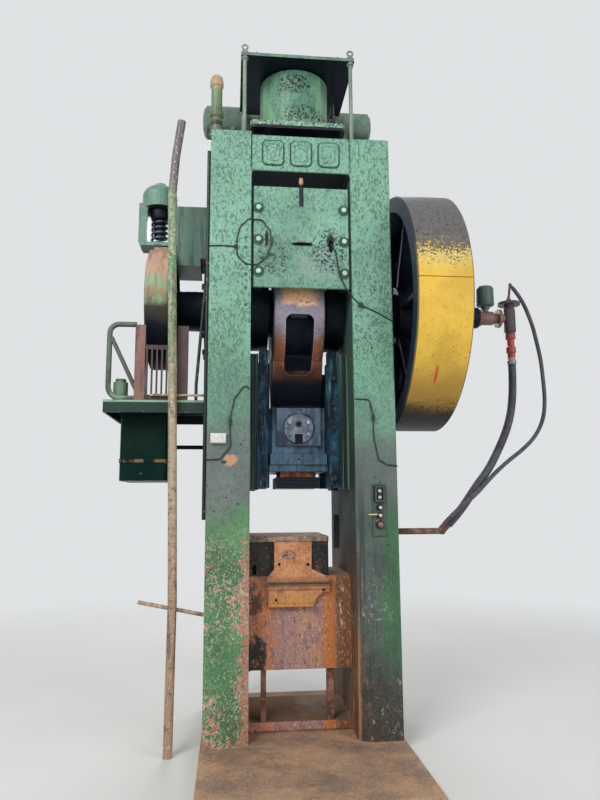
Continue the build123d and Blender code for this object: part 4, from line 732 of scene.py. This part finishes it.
def mesh_object(name, vertices, faces, smooth=True):
    """An object from points and faces."""
    mesh = bpy.data.meshes.new(name)
    mesh.from_pydata(np.asarray(vertices).tolist(), [], np.asarray(faces).tolist())
    if smooth:
        mesh.shade_smooth()
    piece = bpy.data.objects.new(name, mesh)
    bpy.context.scene.collection.objects.link(piece)
    return piece


def grid_faces(rows, columns):
    """The four-sided faces of a grid that closes round its columns."""
    row, column = np.meshgrid(np.arange(rows - 1), np.arange(columns), indexing="ij")
    after = (column + 1) % columns
    corners = (row * columns + column, row * columns + after, (row + 1) * columns + after, (row + 1) * columns + column)
    return np.stack(corners, -1).reshape(-1, 4)


def turned(profile, centre, axis, sides=32, corners=None, turn=0.0):
    """A closed profile of (radius, height) carried round an axis: point = centre + height times the axis
    + radius times a turning arm. With corners, the arm is divided by the cosine of its angle from the
    nearest flat's middle, which makes the ring a regular polygon."""
    axis = np.array(axis, float)
    first = np.cross(axis, (0.0, 0.0, 1.0) if abs(axis[2]) < 0.9 else (0.0, 1.0, 0.0))
    first /= np.linalg.norm(first)
    second = np.cross(axis, first)
    angles = np.linspace(0, 2 * math.pi, sides, endpoint=False) + turn
    arm = np.cos(angles)[:, None] * first + np.sin(angles)[:, None] * second
    if corners:
        half = math.pi / corners
        arm = arm * (1 / np.cos((angles - turn) % (2 * half) - half))[:, None]
    radii, heights = np.array(profile, float).T
    points = np.array(centre) + heights[:, None, None] * axis + radii[:, None, None] * arm
    return points.reshape(-1, 3), grid_faces(len(radii), sides)


def joined(name, parts, smooth=True):
    """One object from several lists of points and faces, welded at doubled points and facing outward."""
    starts = np.cumsum([0] + [len(points) for points, faces in parts[:-1]])
    vertices = np.concatenate([points for points, faces in parts])
    faces = np.concatenate([faces + start for start, (points, faces) in zip(starts, parts)])
    piece = mesh_object(name, vertices, faces, smooth)
    work = bmesh.new()
    work.from_mesh(piece.data)
    bmesh.ops.remove_doubles(work, verts=work.verts, dist=1e-6)
    bmesh.ops.recalc_face_normals(work, faces=work.faces)
    work.to_mesh(piece.data)
    work.free()
    return piece


def disc_bolts(size):
    """Four hexagon heads on washers round the adjuster's disc."""
    low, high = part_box("adjuster_disc")
    x, z = (low[0] + high[0]) / 2, (low[2] + high[2]) / 2
    washer = [(0, 0), (size * 0.62, 0), (size * 0.62, 0.003), (0, 0.003)]
    head = [(0, 0.002), (size * 0.5, 0.002), (size * 0.5, 0.013), (size * 0.45, 0.016), (0, 0.016)]
    parts = []
    for angle in (32, 148, 212, 328):
        way = math.radians(angle)
        centre = (x + DISC_BOLT_REACH * math.cos(way), low[1] + 0.001, z + DISC_BOLT_REACH * math.sin(way))
        parts.append(turned(washer, centre, (0, -1, 0), 24))
        parts.append(turned(head, centre, (0, -1, 0), 24, 6, angle))
    return joined("disc_bolts", parts, False)


def spring_cup():
    """The dark cup below the yoke's head and the sleeve that guides the brake spring: a thin-walled ring."""
    low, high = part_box("brake_spring")
    end = 0.05 - (high[2] - low[2])
    profile = [
        (0.022, 0), (0.084, 0), (0.086, -0.006), (0.086, -0.018), (0.074, -0.072), (0.071, -0.078), (0.048, -0.078),
        (0.047, end + 0.01), (0.040, end), (0.022, end), (0.022, 0),
    ]
    centre = ((low[0] + high[0]) / 2, 0, high[2] - 0.0005)
    return joined("spring_cup", [turned(profile, centre, (0, 0, 1), 48)])


def stud_head():
    """The turned knob of the eye rod in the cover's slot: a rounded grip on a narrow collar."""
    profile = [
        (0, 0.006), (0.008, 0.005), (0.014, 0.001), (0.017, -0.008), (0.0175, -0.030), (0.015, -0.046), (0.010, -0.054),
        (0.0125, -0.058), (0.0125, -0.064), (0.0078, -0.067), (0, -0.067),
    ]
    centre = (0, KNOB_Y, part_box("cover_plate")[1][2])
    return joined("stud_head", [turned(profile, centre, (0, 0, 1), 32)])


def button_cap(name, node, z, radius):
    """The domed face of a push button: radius times cosine across, a third of it times sine outward."""
    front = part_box(node)[0][1]
    angle = np.linspace(0, math.pi / 2, 8)
    dome = np.stack((radius * np.cos(angle), 0.34 * radius * np.sin(angle)), -1)
    profile = [(0, -0.003), (radius, -0.003), *dome.tolist()]
    return joined(name, [turned(profile, (PANEL_X, front + 0.001, z), (0, -1, 0), 32)])


def slot_shade_sheet(y):
    """A thin dark sheet behind the cover's slots, standing in for the shade inside them: y follows two low waves across
    and down the sheet.
    """
    across, down = np.meshgrid(np.linspace(-0.27, 0.27, 30), np.linspace(3.50, 3.80, 18), indexing="ij")
    wave = y + 0.003 + 0.002 * np.sin(across * 23) * np.cos(down * 31)
    near = np.stack((across, wave, down), -1).reshape(-1, 3)
    rows, columns = across.shape
    index = np.arange(rows * columns).reshape(rows, columns)
    start = index[:-1, :-1]
    skin = np.stack((start, start + 1, start + columns + 1, start + columns), -1).reshape(-1, 4)
    rim = np.concatenate((index[0, :], index[1:, -1], index[-1, -2::-1], index[-2::-1, 0]))
    count = rows * columns
    strip = np.stack((rim[:-1], rim[1:], rim[1:] + count, rim[:-1] + count), -1)
    points = np.concatenate((near, near + (0, 0.002, 0)))
    return joined("slot_shade_sheet", [(points, np.concatenate((skin, skin + count, strip)))])


# Hoses

AIR_HOSE = [
    (1.890, 0, 2.872), (1.890, 0, 2.722), (1.842, -0.057, 2.479), (1.772, -0.099, 2.296), (1.674, -0.139, 2.126),
    (1.567, -0.178, 1.961), (1.433, -0.218, 1.817), (1.276, -0.300, 1.634), (1.170, -0.300, 1.528),
]
SIGNAL_HOSE = [
    (1.935, 0, 3.560), (2.010, 0, 3.466), (2.090, 0, 3.251), (2.125, 0, 3.080), (2.155, 0, 2.908),
    (2.164, 0, 2.734), (2.169, -0.001, 2.559), (2.138, -0.012, 2.389), (2.046, -0.037, 2.244), (1.915, -0.076, 2.133),
    (1.770, -0.130, 2.043), (1.631, -0.192, 1.948), (1.506, -0.262, 1.850), (1.388, -0.325, 1.752),
    (1.204, -0.364, 1.622), (1.120, -0.364, 1.538),
]


def hose(name, points, radius, material, node):
    """A hose as a round curve with the route's points as control points, in place of its CAD node."""
    curve = bpy.data.curves.new(name, "CURVE")
    curve.dimensions = "3D"
    curve.bevel_depth = radius
    curve.bevel_resolution = 6
    curve.use_fill_caps = True
    spline = curve.splines.new("NURBS")
    spline.points.add(len(points) - 1)
    for knot, place in zip(spline.points, points):
        knot.co = (*place, 1.0)
    spline.order_u = 3
    spline.use_endpoint_u = True
    spline.resolution_u = 10
    piece = bpy.data.objects.new(name, curve)
    bpy.context.scene.collection.objects.link(piece)
    piece.data.materials.append(material)
    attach(piece, "press")
    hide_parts(node)
    return piece


# Settings, steps and panel

def paint(name, description, default):
    """A colour setting."""
    return FloatVectorProperty(
        name=name, description=description, default=rgb(default), size=4, min=0.0, max=1.0, subtype="COLOR",
    )


def length(name, description, default, low, high):
    """A length setting in metres."""
    return FloatProperty(name=name, description=description, default=default, min=low, max=high, unit="LENGTH")


class PressLook(PropertyGroup):
    """Settings of the press's looks."""

    wear: FloatProperty(
        name="Wear", description="How far the paint has come off", default=1.0, min=0.0, max=2.0, subtype="FACTOR",
    )
    light: FloatProperty(name="Light", description="Strength of the studio light", default=1.0, min=0.1, max=4.0)
    mint: paint("Crown Enamel", "Paint of the upper frame and its cover", "#86B69E")
    leaf: paint("Foot Enamel", "Paint at the foot of the left column", "#629668")
    yellow: paint("Wheel Enamel", "Paint of the flywheel's rim", "#E4BA4C")
    air_bore: length("Air Hose Radius", "Outer radius of the main air hose", 0.033, 0.02, 0.04)
    signal_bore: length("Signal Hose Radius", "Outer radius of the signal hose", 0.017, 0.01, 0.02)
    disc_bolt: length("Disc Bolt Size", "Width over flats of the adjuster disc's bolt heads", 0.030, 0.016, 0.034)


class PRESS_OT_body(Operator):
    """Paint the frame, its base plate and its cover, and close the cover's slots from inside with a dark sheet as
    painted shade
    """

    bl_idname = "press.body"
    bl_label = "Paint the Body"

    def execute(self, context):
        clothe(frame_enamel(), "frame")
        clothe(cover_enamel(), "cover_plate")
        # A dark sheet behind the slots: painted shade
        sheet = slot_shade_sheet(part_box("cover_plate")[1][1] + SHEET_GAP)
        sheet.data.materials.append(oiled_steel("sheet_steel", "#101A24", "#0A121C", seed=5, metallic=0.2))
        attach(sheet, "press")
        knob = stud_head()
        knob.data.materials.append(worn_enamel(
            "knob_enamel", "#DEB08E", chips=0.2, grime=0.3, seed=7, radius=0.003,
            coats=lambda s: [("#3C2C28", s.z.rise(KNOB_JOINT_Z + 0.002, KNOB_JOINT_Z - 0.002))],
        ))
        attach(knob, "press")
        iron("floor_plate_rust", "#B69478", "#967C6A", "#C49872", "base_plate", seed=2, scale=1.3,
             coats=lambda s: [("#58524C", s.noise(2.2, 5, 0.7, shift=7).rise(0.46, 0.74) * 0.5)])
        iron("anchor_rust", "#60483A", RUST, "#965A34", "anchor_bolts", seed=3)
        # Bolts above 3.3 m wear the cover's mint, lightened beyond it as a painted highlight
        worn("bolt_enamel", "#28363E", "hex_bolts", chips=0.3, grime=0.3, seed=9, radius=0.003,
             coats=lambda s: [("#B0D8C2", s.z.rise(3.29, 3.31))])
        return {"FINISHED"}


class PRESS_OT_drive(Operator):
    """Paint the shaft, its bearings, the rod and the flywheel"""

    bl_idname = "press.drive"
    bl_label = "Paint the Drive"

    def execute(self, context):
        clothe(rod_enamel(), "connecting_rod")
        clothe(wheel_enamel(), "flywheel")
        worn("housing_enamel", "#1E2832", "bearing_housing_left", "bearing_housing_right", under="#3A3432",
             chips=0.1, grime=0.6, seed=12, below=0.6, specular=0.1)
        steel("bolt_steel", "#3E444C", "#282E36", "housing_bolts", rust=0.3, seed=14)
        steel("bush_bronze", "#785C38", "#503E2C", "bearing_bushes", rust=0.1, seed=15)
        # The rod's bush is near-black: painted shade inside the rod
        steel("rod_bush_shaded", "#1E1E26", "#14141C", "big_end_bush", rust=0.1, seed=17, metallic=0.1, specular=0.1)
        # The shaft and the wrist pin are near-black navy: painted shade for the dark they sit in
        steel("shaft_steel", "#142032", "#0A1222", "eccentric_shaft", "wrist_pin", rust=0.1, grease=0.8,
              seed=16, metallic=0.1, specular=0.12)
        worn("clutch_enamel", "#363C48", "clutch_cover", chips=0.4, seed=18)
        return {"FINISHED"}


class PRESS_OT_ram(Operator):
    """Paint the ram, its guides and the upper dies, and bolt the adjuster's disc"""

    bl_idname = "press.ram"
    bl_label = "Paint the Ram"

    def execute(self, context):
        def disc_coats(s):
            """Painted shade in the disc's notch, in black, and in its hollow, in dark grey-blue."""
            notch = abs(s.x).rise(0.033, 0.029) * s.z.rise(DISC_Z - 0.038, DISC_Z - 0.044)
            return ("#0A0E18", notch), ("#28303C", s.spot(0.0, DISC_Z + 0.034, 0.026, rag=0.4))

        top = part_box("slide")[1][2]
        bolts = disc_bolts(look().disc_bolt)
        bolts.data.materials.append(oiled_steel("disc_bolt_steel", "#BEC6D0", "#465262", grease=0.4, seed=20, scale=6))
        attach(bolts, "adjuster")
        clothe(rail_enamel(), "guide_rails")
        # The slide's top 10 cm are darkened: painted shadow of the rod's foot
        steel("ram_steel", "#506A7C", "#384E62", "slide", "upper_die_plate", grease=0.45, seed=21, scale=1.6,
              coats=lambda s: [("#101824", (s.z + (s.noise(9, 4, 0.7) - 0.5) * 0.1).rise(top - 0.10, top) * 0.8)])
        steel("plate_steel", "#546878", "#384858", "adjuster_plate", seed=22, scale=2)
        steel("disc_steel", "#88909E", "#5A6270", "adjuster_disc", rust=0.3, grease=0.35, seed=23, scale=2.5,
              coats=disc_coats)
        iron("die_rust", "#965C44", "#463432", "#E2926E", "upper_die_holder", seed=24, scale=2.4)
        steel("die_steel", "#161C28", "#0C101A", "upper_die_block", "lifting_arms", grease=0.6, seed=25, metallic=0.2,
              specular=0.15)
        steel("guide_steel", "#30566C", "#162C3C", "gibs", grease=0.9, seed=26, scale=1.8, specular=0.2,
              coats=lambda s: [("#688692", s.noise(40, 4, 0.75, (1, 1, 0.12), 29).rise(0.58, 0.64) * 0.7)])
        return {"FINISHED"}


class PRESS_OT_bed(Operator):
    """Paint the bolster, the table, the bracket and what lies below"""

    bl_idname = "press.bed"
    bl_label = "Paint the Bed"

    def execute(self, context):
        clothe(bracket_enamel(), "die_bracket")
        iron("bolster_iron", "#3C3C38", "#22282A", "#705042", "bolster", seed=31, scale=1.6)
        iron("table_iron", "#A88E7C", "#745C52", "#CEBAA4", "table_plate", seed=32, scale=2.4)
        iron("stay_rust", "#966A5C", "#60463C", "#BE8872", "window_posts", seed=34, scale=2)
        steel("pin_steel", "#3C3A3A", "#28282A", "ejector_pin", rust=0.6, seed=35)
        return {"FINISHED"}


class PRESS_OT_brake(Operator):
    """Paint the brake, the shelf and the pipe of the left side, and set the spring's cup"""

    bl_idname = "press.brake"
    bl_label = "Paint the Brake"

    def execute(self, context):
        def yoke_coats(s):
            """A darker right half with upright runs."""
            run = s.x.rise(-0.99, -0.975) * s.noise(15, 4, 0.7, UPRIGHT, 48).rise(0.48, 0.62)
            return ("#628072", s.x.rise(-0.991, -0.979)), ("#384E4E", run * 0.7)

        def shelf_coats(s):
            """A dark front below a pale lip, and a light oil pot."""
            return (
                ("#14342C", s.z.band(2.30, 2.44)), ("#92B298", s.z.band(2.444, 2.457, 0.002)),
                ("#78947A", s.spot(-1.36, 2.54, 0.07, 0.09)),
            )

        def tank_coats(s):
            """The bare seam round the tank."""
            return [("#807054", s.z.band(2.008, 2.030) * s.noise(9, 5, 0.7, shift=3).rise(0.46, 0.56))]

        cup = spring_cup()
        cup.data.materials.append(oiled_steel("cup_steel", "#161C2C", "#0E121E", seed=47, metallic=0.2))
        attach(cup, "press")
        clothe(drum_enamel(), "brake_band")
        clothe(pipe_enamel(), "service_pipe")
        steel("drum_steel", "#2C2C34", "#181C26", "brake_drum", rust=0.5, grease=0.7, seed=41, metallic=0.2,
              specular=0.15)
        worn("yoke_enamel", "#7CA490", "brake_bracket", "brake_cylinder", chips=0.35, grime=0.35, pits=0.5, seed=42,
             below=0.9, coats=yoke_coats)
        steel("spring_steel", "#74848E", "#3E4A56", "brake_spring", "brake_rod", seed=43, scale=2)
        worn("guard_enamel", "#946C64", "drum_guard", under="#60424A", seed=44, streaks=0.8,
             coats=lambda s: [("#42363A", s.x.rise(-1.168, -1.164) * 0.85)])
        worn("shelf_enamel", "#627060", "platform", chips=0.2, seed=45, below=0.95, coats=shelf_coats)
        worn("tank_enamel", "#042A22", "oil_tank", shade="#021C1A", chips=0.1, grime=0.2, seed=46, below=0.8,
             specular=0.08, coats=tank_coats)
        return {"FINISHED"}


class PRESS_OT_balancer(Operator):
    """Paint the balancer, the crosshead and the air vessel on top"""

    bl_idname = "press.balancer"
    bl_label = "Paint the Balancer"

    def execute(self, context):
        clothe(barrel_enamel(), "balancer_cylinder", "balancer_base")
        worn("vessel_enamel", "#708E7C", "air_receiver", shade="#5C6260", chips=0.45, grime=0.4, pits=0.4,
             seed=52, below=0.6)
        worn("crosshead_enamel", "#789686", "crosshead", grime=0.4, seed=54, below=1.0, specular=0.12)
        worn("rod_paint", "#8EA492", "lift_rods", chips=0.6, grime=0.4, seed=53, radius=0.004)
        worn("valve_body_enamel", "#7A8E6C", "relief_valve", chips=0.7, seed=55, radius=0.005,
             coats=lambda s: (("#B09878", s.z.rise(4.95, 5.01)), ("#2C2E34", s.z.band(4.66, 4.70))))
        steel("piston_steel", "#6E7070", "#505456", "balancer_piston", rust=0.1, grease=0.3, seed=54)
        return {"FINISHED"}


class PRESS_OT_air(Operator):
    """Paint the air fittings and lay the hoses"""

    bl_idname = "press.air"
    bl_label = "Lay the Hoses"

    def execute(self, context):
        look = context.scene.press_look
        rubber = dusty_rubber()
        air = hose("main_air_hose", AIR_HOSE, look.air_bore, rubber, "air_hose")
        signal = hose("signal_air_hose", SIGNAL_HOSE, look.signal_bore, rubber, "signal_hose")
        worn("union_enamel", "#A0766E", "rotary_union", grime=0.6, seed=61)
        worn("silencer_enamel", "#5C746A", "exhaust_silencer", seed=62)
        worn("valve_enamel", "#685860", "air_valve", grime=0.6, seed=63)
        worn("coupling_enamel", "#BC544C", "hose_coupling", under="#785A54", chips=0.6, grime=0.4, seed=64,
             coats=lambda s: [("#A8A09C", s.z.band(2.86, 2.93))])
        iron("pipe_rust", "#80645A", "#5C463E", "#B08870", "air_pipe", seed=65, scale=2)
        return {"FINISHED"}


class PRESS_OT_controls(Operator):
    """Paint the panel, its buttons, the box and the thin tubes"""

    bl_idname = "press.controls"
    bl_label = "Paint the Controls"

    def execute(self, context):
        for name, body, node, z, radius, tint, *_ in BUTTONS:
            def shine(s, z=z, radius=radius, tint=tint):
                """The painted highlight of a cap, up and to the left of its middle."""
                return [(dimmed(tint, 1.5), s.spot(PANEL_X - radius * 0.3, z + radius * 0.35, radius * 0.4, rag=0.4))]

            cap = button_cap(name, node, z, radius)
            cap.data.materials.append(worn_enamel(
                name + "_enamel", tint, shade=dimmed(tint, 0.6), chips=0.0, grime=0.3, seed=z, radius=0.002,
                streaks=0.0, coats=shine,
            ))
            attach(cap, body)
        clothe(panel_enamel(), "control_panel")
        # The button bodies' left rim is painted cream: painted highlight
        worn("button_enamel", "#969282", "push_button_upper", "push_button_lower", chips=0.3, grime=0.4, seed=72,
             radius=0.002, coats=lambda s: [("#D8C896", s.x.rise(0.535, 0.530))])
        worn("mushroom_enamel", "#805C56", "mushroom_button", chips=0.2, grime=0.4, seed=73, radius=0.002)
        worn("box_enamel", "#DEE0D8", "junction_box", under="#787468", chips=0.3, grime=0.3, seed=74, radius=0.003)
        worn("tube_enamel", "#283834", "lube_tubes", grime=0.6, seed=75, radius=0.002)
        return {"FINISHED"}


class PRESS_OT_stage(Operator):
    """Set the floor, the backdrop and the lights"""

    bl_idname = "press.stage"
    bl_label = "Set the Stage"

    def execute(self, context):
        scene = context.scene
        strength = look().light
        corners = [(-30, -30, -0.001), (30, -30, -0.001), (30, 30, -0.001), (-30, 30, -0.001)]
        floor = mesh_object("floor", corners, [(0, 1, 2, 3)], False)
        floor.data.materials.append(studio_floor())
        scene.world = studio_world(SKY * strength)
        for name, place, target, size, power in LAMPS:
            lamp = bpy.data.lights.new(name, "AREA")
            lamp.size = size
            lamp.energy = power * strength
            piece = bpy.data.objects.new(name, lamp)
            way = Vector(target) - Vector(place)
            piece.matrix_world = Matrix.Translation(place) @ way.to_track_quat("-Z", "Y").to_matrix().to_4x4()
            scene.collection.objects.link(piece)
        scene.view_settings.view_transform = "Standard"
        return {"FINISHED"}


def studio_floor():
    """The pale floor: it takes the object's shadow near by, and the backdrop's own colour far away."""
    s = Surface("floor_pale", 0.9, specular=0.1)
    grain = s.noise(1.2, 3, 0.5)
    s.finish(s.layers("#DEDDDA", ("#D6D5D2", grain)), grain, 0.0005)
    far = (s.x * s.x + s.y * s.y).root().rise(2.5, 8.0)
    glow = s.node("ShaderNodeEmission", None, {"Color": BACKDROP, "Strength": 1.0})
    blend = s.node("ShaderNodeMixShader", None, {0: far * s.seen(), 1: s.shader.outputs[0], 2: glow.outputs[0]})
    s.tree.links.new(blend.outputs[0], s.tree.nodes["Material Output"].inputs["Surface"])
    return s.material


class Studio(Surface):
    """The world as a surface: only its tree and the making of its nodes."""

    def __init__(self, world):
        world.use_nodes = True
        self.tree = world.node_tree


def studio_world(strength):
    """Soft light from all round, with a plain pale backdrop where the camera, metal and glass see it."""
    world = bpy.data.worlds.new("studio")
    s = Studio(world)
    s.tree.nodes.remove(s.tree.nodes["Background"])
    soft = s.node("ShaderNodeBackground", None, {"Color": (0.92, 0.96, 1.0, 1.0), "Strength": strength})
    pale = s.node("ShaderNodeBackground", None, {"Color": BACKDROP, "Strength": 1.0})
    blend = s.node("ShaderNodeMixShader", None, {0: s.seen(), 1: soft.outputs[0], 2: pale.outputs[0]})
    s.tree.links.new(blend.outputs[0], s.tree.nodes["World Output"].inputs["Surface"])
    return world


class PRESS_OT_camera(Operator):
    """Set the camera at the photograph's place"""

    bl_idname = "press.camera"
    bl_label = "Set the Camera"

    def execute(self, context):
        context.scene.camera = photo_camera()
        context.scene.collection.objects.link(context.scene.camera)
        return {"FINISHED"}


def photo_camera():
    """The camera at the photograph's place: eye height, a little left, turned right and up."""
    right = Vector((math.cos(YAW), -math.sin(YAW), 0))
    level = Vector((math.sin(YAW), math.cos(YAW), 0))
    ahead = level * math.cos(PITCH) + Vector((0, 0, math.sin(PITCH)))
    above = Vector((0, 0, math.cos(PITCH))) - level * math.sin(PITCH)
    across = right * math.cos(ROLL) + above * math.sin(ROLL)
    upward = above * math.cos(ROLL) - right * math.sin(ROLL)
    lens = bpy.data.cameras.new("photo_camera")
    lens.sensor_fit = "HORIZONTAL"
    lens.sensor_width = SENSOR_WIDTH
    lens.lens = FOCAL_LENGTH / PHOTO_WIDTH * SENSOR_WIDTH
    camera = bpy.data.objects.new("photo_camera", lens)
    camera.matrix_world = Matrix.Translation(EYE) @ Matrix((across, upward, -ahead)).transposed().to_4x4()
    return camera


STEPS = (
    PRESS_OT_camera, PRESS_OT_air, PRESS_OT_body, PRESS_OT_drive, PRESS_OT_ram, PRESS_OT_bed, PRESS_OT_brake,
    PRESS_OT_balancer, PRESS_OT_controls, PRESS_OT_stage,
)


class PRESS_PT_panel(Panel):
    """Steps and settings of the press's looks."""

    bl_label = "Press"
    bl_idname = "PRESS_PT_panel"
    bl_space_type = "VIEW_3D"
    bl_region_type = "UI"
    bl_category = "Press"

    def draw(self, context):
        for name in PressLook.__annotations__:
            self.layout.prop(context.scene.press_look, name)
        for step in STEPS:
            self.layout.operator(step.bl_idname)


CLASSES = (PressLook, *STEPS, PRESS_PT_panel)


def register():
    """Adds the classes and the scene's settings."""
    for cls in CLASSES:
        bpy.utils.register_class(cls)
    bpy.types.Scene.press_look = PointerProperty(type=PressLook)


def unregister():
    """Takes the settings and the classes out again."""
    del bpy.types.Scene.press_look
    for cls in reversed(CLASSES):
        bpy.utils.unregister_class(cls)


def main():
    """Dresses the frame step by step."""
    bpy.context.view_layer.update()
    register()
    for step in STEPS:
        group, name = step.bl_idname.split(".")
        getattr(getattr(bpy.ops, group), name)()
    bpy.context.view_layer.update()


if __name__ == "__main__":
    main()
